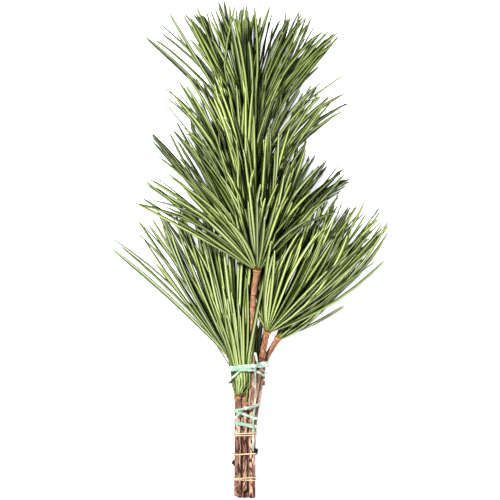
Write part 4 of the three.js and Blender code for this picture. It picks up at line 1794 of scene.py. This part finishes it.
@dataclass
class Ties:
    """The ties of the bunch: a mint-green tape and three rubber bands.

    Attributes:
        plan: The laid bunch.
        straps: The tape's rounds.
        strands: The tape's strands on top of the bunch, the long one first.
        bands: The rubber bands: each as its rounds.
    """

    plan: Plan
    straps: tuple[Strap, ...] = (
        Strap(TAPE_NECK_Y, 0.13, 5.4, 0.34, pinch=0.45),
        FoldedStrap(TAPE_NECK_Y - 2.4, 0.0, 2.2, 0.3, gap=0.55),
        Strap(TAPE_FOOT_Y + 5.2, 0.25, 2.6, 0.3),
        Strap(TAPE_FOOT_Y, -0.36, 2.6, 0.3, gap=0.35),
        Strap(TAPE_FOOT_Y - 8, -0.2, 3.4, 0.34),
    )
    strands: tuple[Strand, ...] = (
        Strand(
            (
                (3.6, TAPE_NECK_Y - 0.4), (3.3, -122), (2.5, -134), (2.2, -146), (2.5, -154),
                (2.2, -160),
            ),
            first=2.2,
            last=1.2,
        ),
        Strand(
            (
                (3.6, TAPE_NECK_Y + 11.4), (4.9, TAPE_NECK_Y + 7.6), (5.6, TAPE_NECK_Y + 2.4),
                (9.4, -95.4), (13.0, -99.4),
            ),
            first=2.0,
            last=1.9,
        ),
        Strand(
            ((-6.6, TAPE_FOOT_Y + 2.8), (-9.4, TAPE_FOOT_Y - 0.4), (-12.0, TAPE_FOOT_Y - 3.6)),
            first=1.9,
            last=1.9,
        ),
    )
    bands: tuple[tuple[str, tuple[Strap, ...]], ...] = (
        ("upper", (Strap(-145.9, 0.05, 0.85, 0.85, wave=0.05), Strap(-147.6, 0.02, 0.85, 0.85, wave=0.05))),
        ("middle", (Strap(-162.4, 0.05, 1.15, 0.9, wave=0.05),)),
        ("lower", (Strap(-181.4, 0.05, 0.85, 0.85, wave=0.05), Strap(-183.0, -0.04, 0.85, 0.85, wave=0.05))),
    )

    def on_top(self, x: float, y: float) -> tuple[np.ndarray, np.ndarray]:
        """Finds the top of the bunch above a place.

        Args:
            x: The place on X.
            y: The place on Y.

        Returns:
            The place on the bunch's skin, and the way out of it.
        """
        discs = self.plan.discs(y)
        best, normal = math.inf, UP
        for degrees in TOP_DEGREES:
            nx, nz = math.cos(math.radians(degrees)), math.sin(math.radians(degrees))
            disc = furthest(discs, nx, nz)
            z = (disc[0] * nx + disc[1] * nz + disc[2] - nx * x) / nz
            if z < best:
                best, normal = z, np.array([nx, 0.0, nz])
        return np.array([x, y, best]), normal

    def flat_section(self, width: float, thickness: float, seed: float, along: float) -> Section:
        """Works out a tape's section: a thin strip with soft lengthwise folds.

        Args:
            width: Its width.
            thickness: Its thickness.
            seed: What its folds differ by.
            along: How far along the tape it is.

        Returns:
            Its places, across and out.
        """
        section = []
        for i in range(TAPE_POINTS):
            share = i / (TAPE_POINTS - 1) - 0.5
            fold = 0.5 + 0.5 * noise.noise(Vector((share * 3.2, along * 0.35, seed)))
            section.append((share * width, thickness * (0.75 + 0.7 * fold) * (1 - 0.75 * (2 * share) ** 6)))
        back = [(share * width, 0.0) for share in (0.46, 0.2, -0.2, -0.46)]
        return section + back

    def round_section(self, width: float, thickness: float) -> Section:
        """Works out a rubber band's rounded section.

        Args:
            width: Its width.
            thickness: Its thickness.

        Returns:
            Its places, across and out.
        """
        section = []
        for i in range(BAND_POINTS):
            angle = math.pi - 2 * math.pi * i / BAND_POINTS
            bulge = abs(math.cos(angle)) ** 0.7 * math.copysign(1, math.cos(angle))
            section.append((bulge * width / 2, thickness / 2 + math.sin(angle) * thickness / 2))
        return section

    def strap(
        self, strap: Strap, name: str, seed: float, rubber: bool, over: list[Disc]
    ) -> bpy.types.Mesh:
        """Rolls one round.

        Args:
            strap: Its sizes.
            name: The mesh's name.
            seed: What its folds differ by.
            rubber: Whether it is a rubber band.
            over: Discs more that it goes round.

        Returns:
            Its mesh.
        """
        rings = []
        for x, z, nx, nz in self.loop(strap, over):
            y = strap.course(x, nz > 0)
            folded = noise.noise(Vector((nx * 1.7, nz * 1.7, seed)))
            width = strap.width * (1 - strap.wave * (1 + folded))
            if nz > 0 and strap.pinch:
                width *= 1 - strap.pinch * math.exp(-(((x - PINCH_X) / PINCH_REACH) ** 2))
            if rubber:
                section = self.round_section(width, strap.thickness)
            else:
                section = self.flat_section(width, strap.thickness, seed, x)
            ring = []
            for aside, out in section:
                reach = strap.gap + out
                height = z + nz * reach
                if height < RESTING and out > 0:
                    height = 0.0
                ring.append((x + nx * reach, y + aside, height))
            rings.append(ring)
        return rolled(name, self.smoothed(np.array(rings)), looped=True)

    def loop(self, strap: Strap, over: list[Disc]) -> np.ndarray:
        """Draws the strap's course tight round the bunch.

        Args:
            strap: Its sizes.
            over: Discs more that it goes round.

        Returns:
            Even steps along it, each as X, Z and the way out.
        """
        touched = []
        for i in range(HULL_STEPS):
            angle = 2 * math.pi * (i + 0.5) / HULL_STEPS
            nx, nz = math.cos(angle), math.sin(angle)
            y = strap.course(0, nz > 0)
            for _ in range(4):
                near = []
                for along in (-0.5, 0, 0.5):
                    near += self.plan.discs(y + along * strap.width)
                disc = furthest(near + over, nx, nz)
                y = strap.course(disc[0] + nx * disc[2], nz > 0)
            touched.append((disc[0] + nx * disc[2], disc[1] + nz * disc[2], nx, nz))
        touched = np.array(touched + touched[:1])
        run = np.concatenate([[0.0], np.cumsum(np.linalg.norm(np.diff(touched[:, :2], axis=0), axis=1))])
        places = np.arange(strap.steps) / strap.steps * run[-1]
        even = np.stack([np.interp(places, run, touched[:, column]) for column in range(4)], axis=1)
        even[:, 2:] = unit(even[:, 2:])
        return even

    def smoothed(self, rings: np.ndarray) -> np.ndarray:
        """Evens out a loop's places along Y.

        Args:
            rings: The loop's rings.

        Returns:
            The evened rings.
        """
        eased = rings.copy()
        for _ in range(STRAP_EASES):
            places = eased[:, :, 1]
            eased[:, :, 1] = (np.roll(places, 1, 0) + 2 * places + np.roll(places, -1, 0)) / 4
        return eased

    def strand(self, strand: Strand, seed: float) -> bpy.types.Mesh:
        """Rolls a strand of tape.

        Args:
            strand: Its run and widths.
            seed: What its folds differ by.

        Returns:
            Its mesh.
        """
        course = Course(tuple((x, y, 0.0) for x, y in strand.run))
        length = float(course.lengths[-1])
        steps = int(length / STRAND_STEP)
        rings = []
        for i in range(steps + 1):
            share = i / steps
            x, y, _ = course.place(share)
            point, normal = self.on_top(x, y)
            side = unit(np.cross(course.tangent(share), normal))
            gathered = noise.noise(Vector((share * length * 0.12, seed, 0.0)))
            wide = mix(strand.first, strand.last, share) * (0.9 + 0.2 * gathered)
            section = self.flat_section(wide, STRAND_THICKNESS, seed, share * length * 0.3)
            point = point + normal * STRAND_LIFT
            rings.append([point + side * aside + normal * out for aside, out in section])
        rings = np.array(rings)
        for _ in range(STRAND_EASES):
            rings[1:-1] = (rings[:-2] + 2 * rings[1:-1] + rings[2:]) / 4
        return rolled("strand", rings)

    def build(self, tape: bpy.types.Material, rubber: bpy.types.Material) -> None:
        """Builds the tape and the bands, and dresses them.

        Args:
            tape: The tape's material.
            rubber: The bands' material.
        """
        parts = [self.strap(strap, "strap", 3.1 * i, False, []) for i, strap in enumerate(self.straps)]
        parts += [self.strand(strand, 50 + 7.3 * i) for i, strand in enumerate(self.strands)]
        piece("tape", joined("tape", parts), "tape", tape, "binding_tape")
        for name, rounds in self.bands:
            over = []
            if rounds[0].y > self.strands[0].run[-1][1]:
                point, normal = self.on_top(BULK_X, rounds[0].y)
                bulk = point + normal * BULK_LIFT
                over = [(bulk[0], bulk[2], BULK_RADIUS)]
            loops = [self.strap(strap, "band", 1.7 * i, True, over) for i, strap in enumerate(rounds)]
            piece(f"band_{name}", joined(f"band_{name}", loops), "rubber", rubber, f"rubber_band_{name}")


@dataclass(frozen=True)
class Lamp:
    """A soft square lamp that looks at the bunch.

    Attributes:
        name: Its name.
        place: Where it hangs, in metres.
        size: Length of its sides, in metres.
        energy: Its power, in watts.
        colour: Its colour.
    """

    name: str
    place: Point
    size: float
    energy: float
    colour: Colour

    def hang(self) -> None:
        """Hangs the lamp."""
        data = bpy.data.lights.new(self.name, "AREA")
        data.size = self.size
        data.energy = self.energy
        data.color = self.colour
        made = bpy.data.objects.new(self.name, data)
        made.location = self.place
        made.rotation_euler = (-Vector(self.place)).to_track_quat("-Z", "Y").to_euler()
        bpy.context.scene.collection.objects.link(made)


@dataclass
class Studio:
    """The plain pale floor, the soft light and the camera above.

    Attributes:
        distance: Height of the camera, in metres.
        seen: Width of the surface that the picture shows, in metres.
        sensor: Width of the camera's sensor, in millimetres.
        far: How far the camera sees, in metres.
        paint: Colour of the floor.
        cast: Colour of the light that the floor gives off to the bunch.
        shown: Colour of the light that it gives off to the camera.
        glow: Strength of that light.
        more: What the camera sees of it on top.
        sky: Colour of the sky.
        sky_strength: Strength of the sky.
        lamps: The lamps: one from the upper left, and weak ones from the right and the far end.
    """

    distance: float = 3.0
    seen: float = 0.4
    sensor: float = 36.0
    far: float = 20.0
    paint: Colour = (0.86, 0.86, 0.88)
    cast: Colour = (0.82, 0.82, 0.72)
    shown: Colour = (0.91, 0.91, 0.97)
    glow: float = 0.4
    more: float = 0.43
    sky: Colour = (0.98, 0.98, 0.96)
    sky_strength: float = 0.15
    lamps: tuple[Lamp, ...] = (
        Lamp("key", (-0.48, 0.56, 2.05), 0.26, 98.0, (1.0, 0.98, 0.92)),
        Lamp("fill", (1.3, -0.6, 1.6), 1.4, 10.0, (1.0, 0.98, 0.93)),
        Lamp("back", (0.4, 1.9, 0.8), 1.2, 9.0, (1.0, 0.98, 0.93)),
    )

    def camera(self) -> None:
        """Places the camera straight above the middle of the picture."""
        data = bpy.data.cameras.new("camera")
        data.sensor_width = self.sensor
        data.lens = self.sensor * self.distance / self.seen
        data.clip_end = self.far
        made = bpy.data.objects.new("camera", data)
        made.location = (0.0, 0.0, self.distance)
        bpy.context.scene.collection.objects.link(made)
        bpy.context.scene.camera = made

    def floor(self) -> None:
        """Lays the pale floor."""
        bm = bmesh.new()
        bmesh.ops.create_grid(bm, x_segments=1, y_segments=1, size=6.0)
        mesh = bpy.data.meshes.new("floor")
        bm.to_mesh(mesh)
        bm.free()
        material = bpy.data.materials.new("floor")
        material.use_nodes = True
        graph = Graph(material.node_tree)
        shader = material.node_tree.nodes["Principled BSDF"]
        shader.inputs["Base Color"].default_value = (*self.paint, 1.0)
        shader.inputs["Roughness"].default_value = 0.9
        seen = graph.add("LightPath").outputs["Is Camera Ray"]
        given_off = graph.blend(seen, (*self.cast, 1.0), (*self.shown, 1.0))
        strength = graph.maths("MULTIPLY_ADD", seen, self.more, self.glow)
        graph.feed(shader.inputs["Emission Color"], given_off)
        graph.feed(shader.inputs["Emission Strength"], strength)
        mesh.materials.append(material)
        made = bpy.data.objects.new("floor", mesh)
        bpy.context.scene.collection.objects.link(made)
        made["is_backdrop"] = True

    def light(self) -> None:
        """Lights the bunch by the lamps and a pale sky."""
        for lamp in self.lamps:
            lamp.hang()
        world = bpy.data.worlds.new("studio")
        world.use_nodes = True
        sky = world.node_tree.nodes["Background"]
        sky.inputs["Color"].default_value = (*self.sky, 1.0)
        sky.inputs["Strength"].default_value = self.sky_strength
        bpy.context.scene.world = world
        bpy.context.scene.view_settings.view_transform = "Standard"

    def build(self) -> None:
        """Builds the studio."""
        self.camera()
        self.floor()
        self.light()


def corners(box: object) -> list[list[float]]:
    """Returns a box as plain lists of numbers."""
    return [[float(number) for number in corner] for corner in box]


def main() -> None:
    """Builds the bunch around its solids."""
    logging.basicConfig(level=logging.INFO, format="%(message)s")
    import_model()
    solid_box = corners(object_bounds())
    Studio().build()
    plan = Plan(solid_box)
    bark = BarkFinish("bark").build()
    bud = PlainFinish("bud", (0.52, 0.28, 0.10), (0.28, 0.10, 0.035), 0.5, 500).build()
    rubber = PlainFinish("rubber", (0.80, 0.62, 0.42), (0.62, 0.42, 0.26), 0.45, 300, relief=0.1).build()
    tape = TapeFinish("tape").build()
    greens = {leaf: leaf.value.build() for leaf in Leaf}
    for name in BRANCHES:
        BranchBark(name, plan, knots=KNOTS.get(name, ())).build(bark)
    for name in WHORLS:
        NeedleWhorl(name, plan, greens=greens).build(bud)
    Ties(plan).build(tape, rubber)


if __name__ == "__main__":
    main()
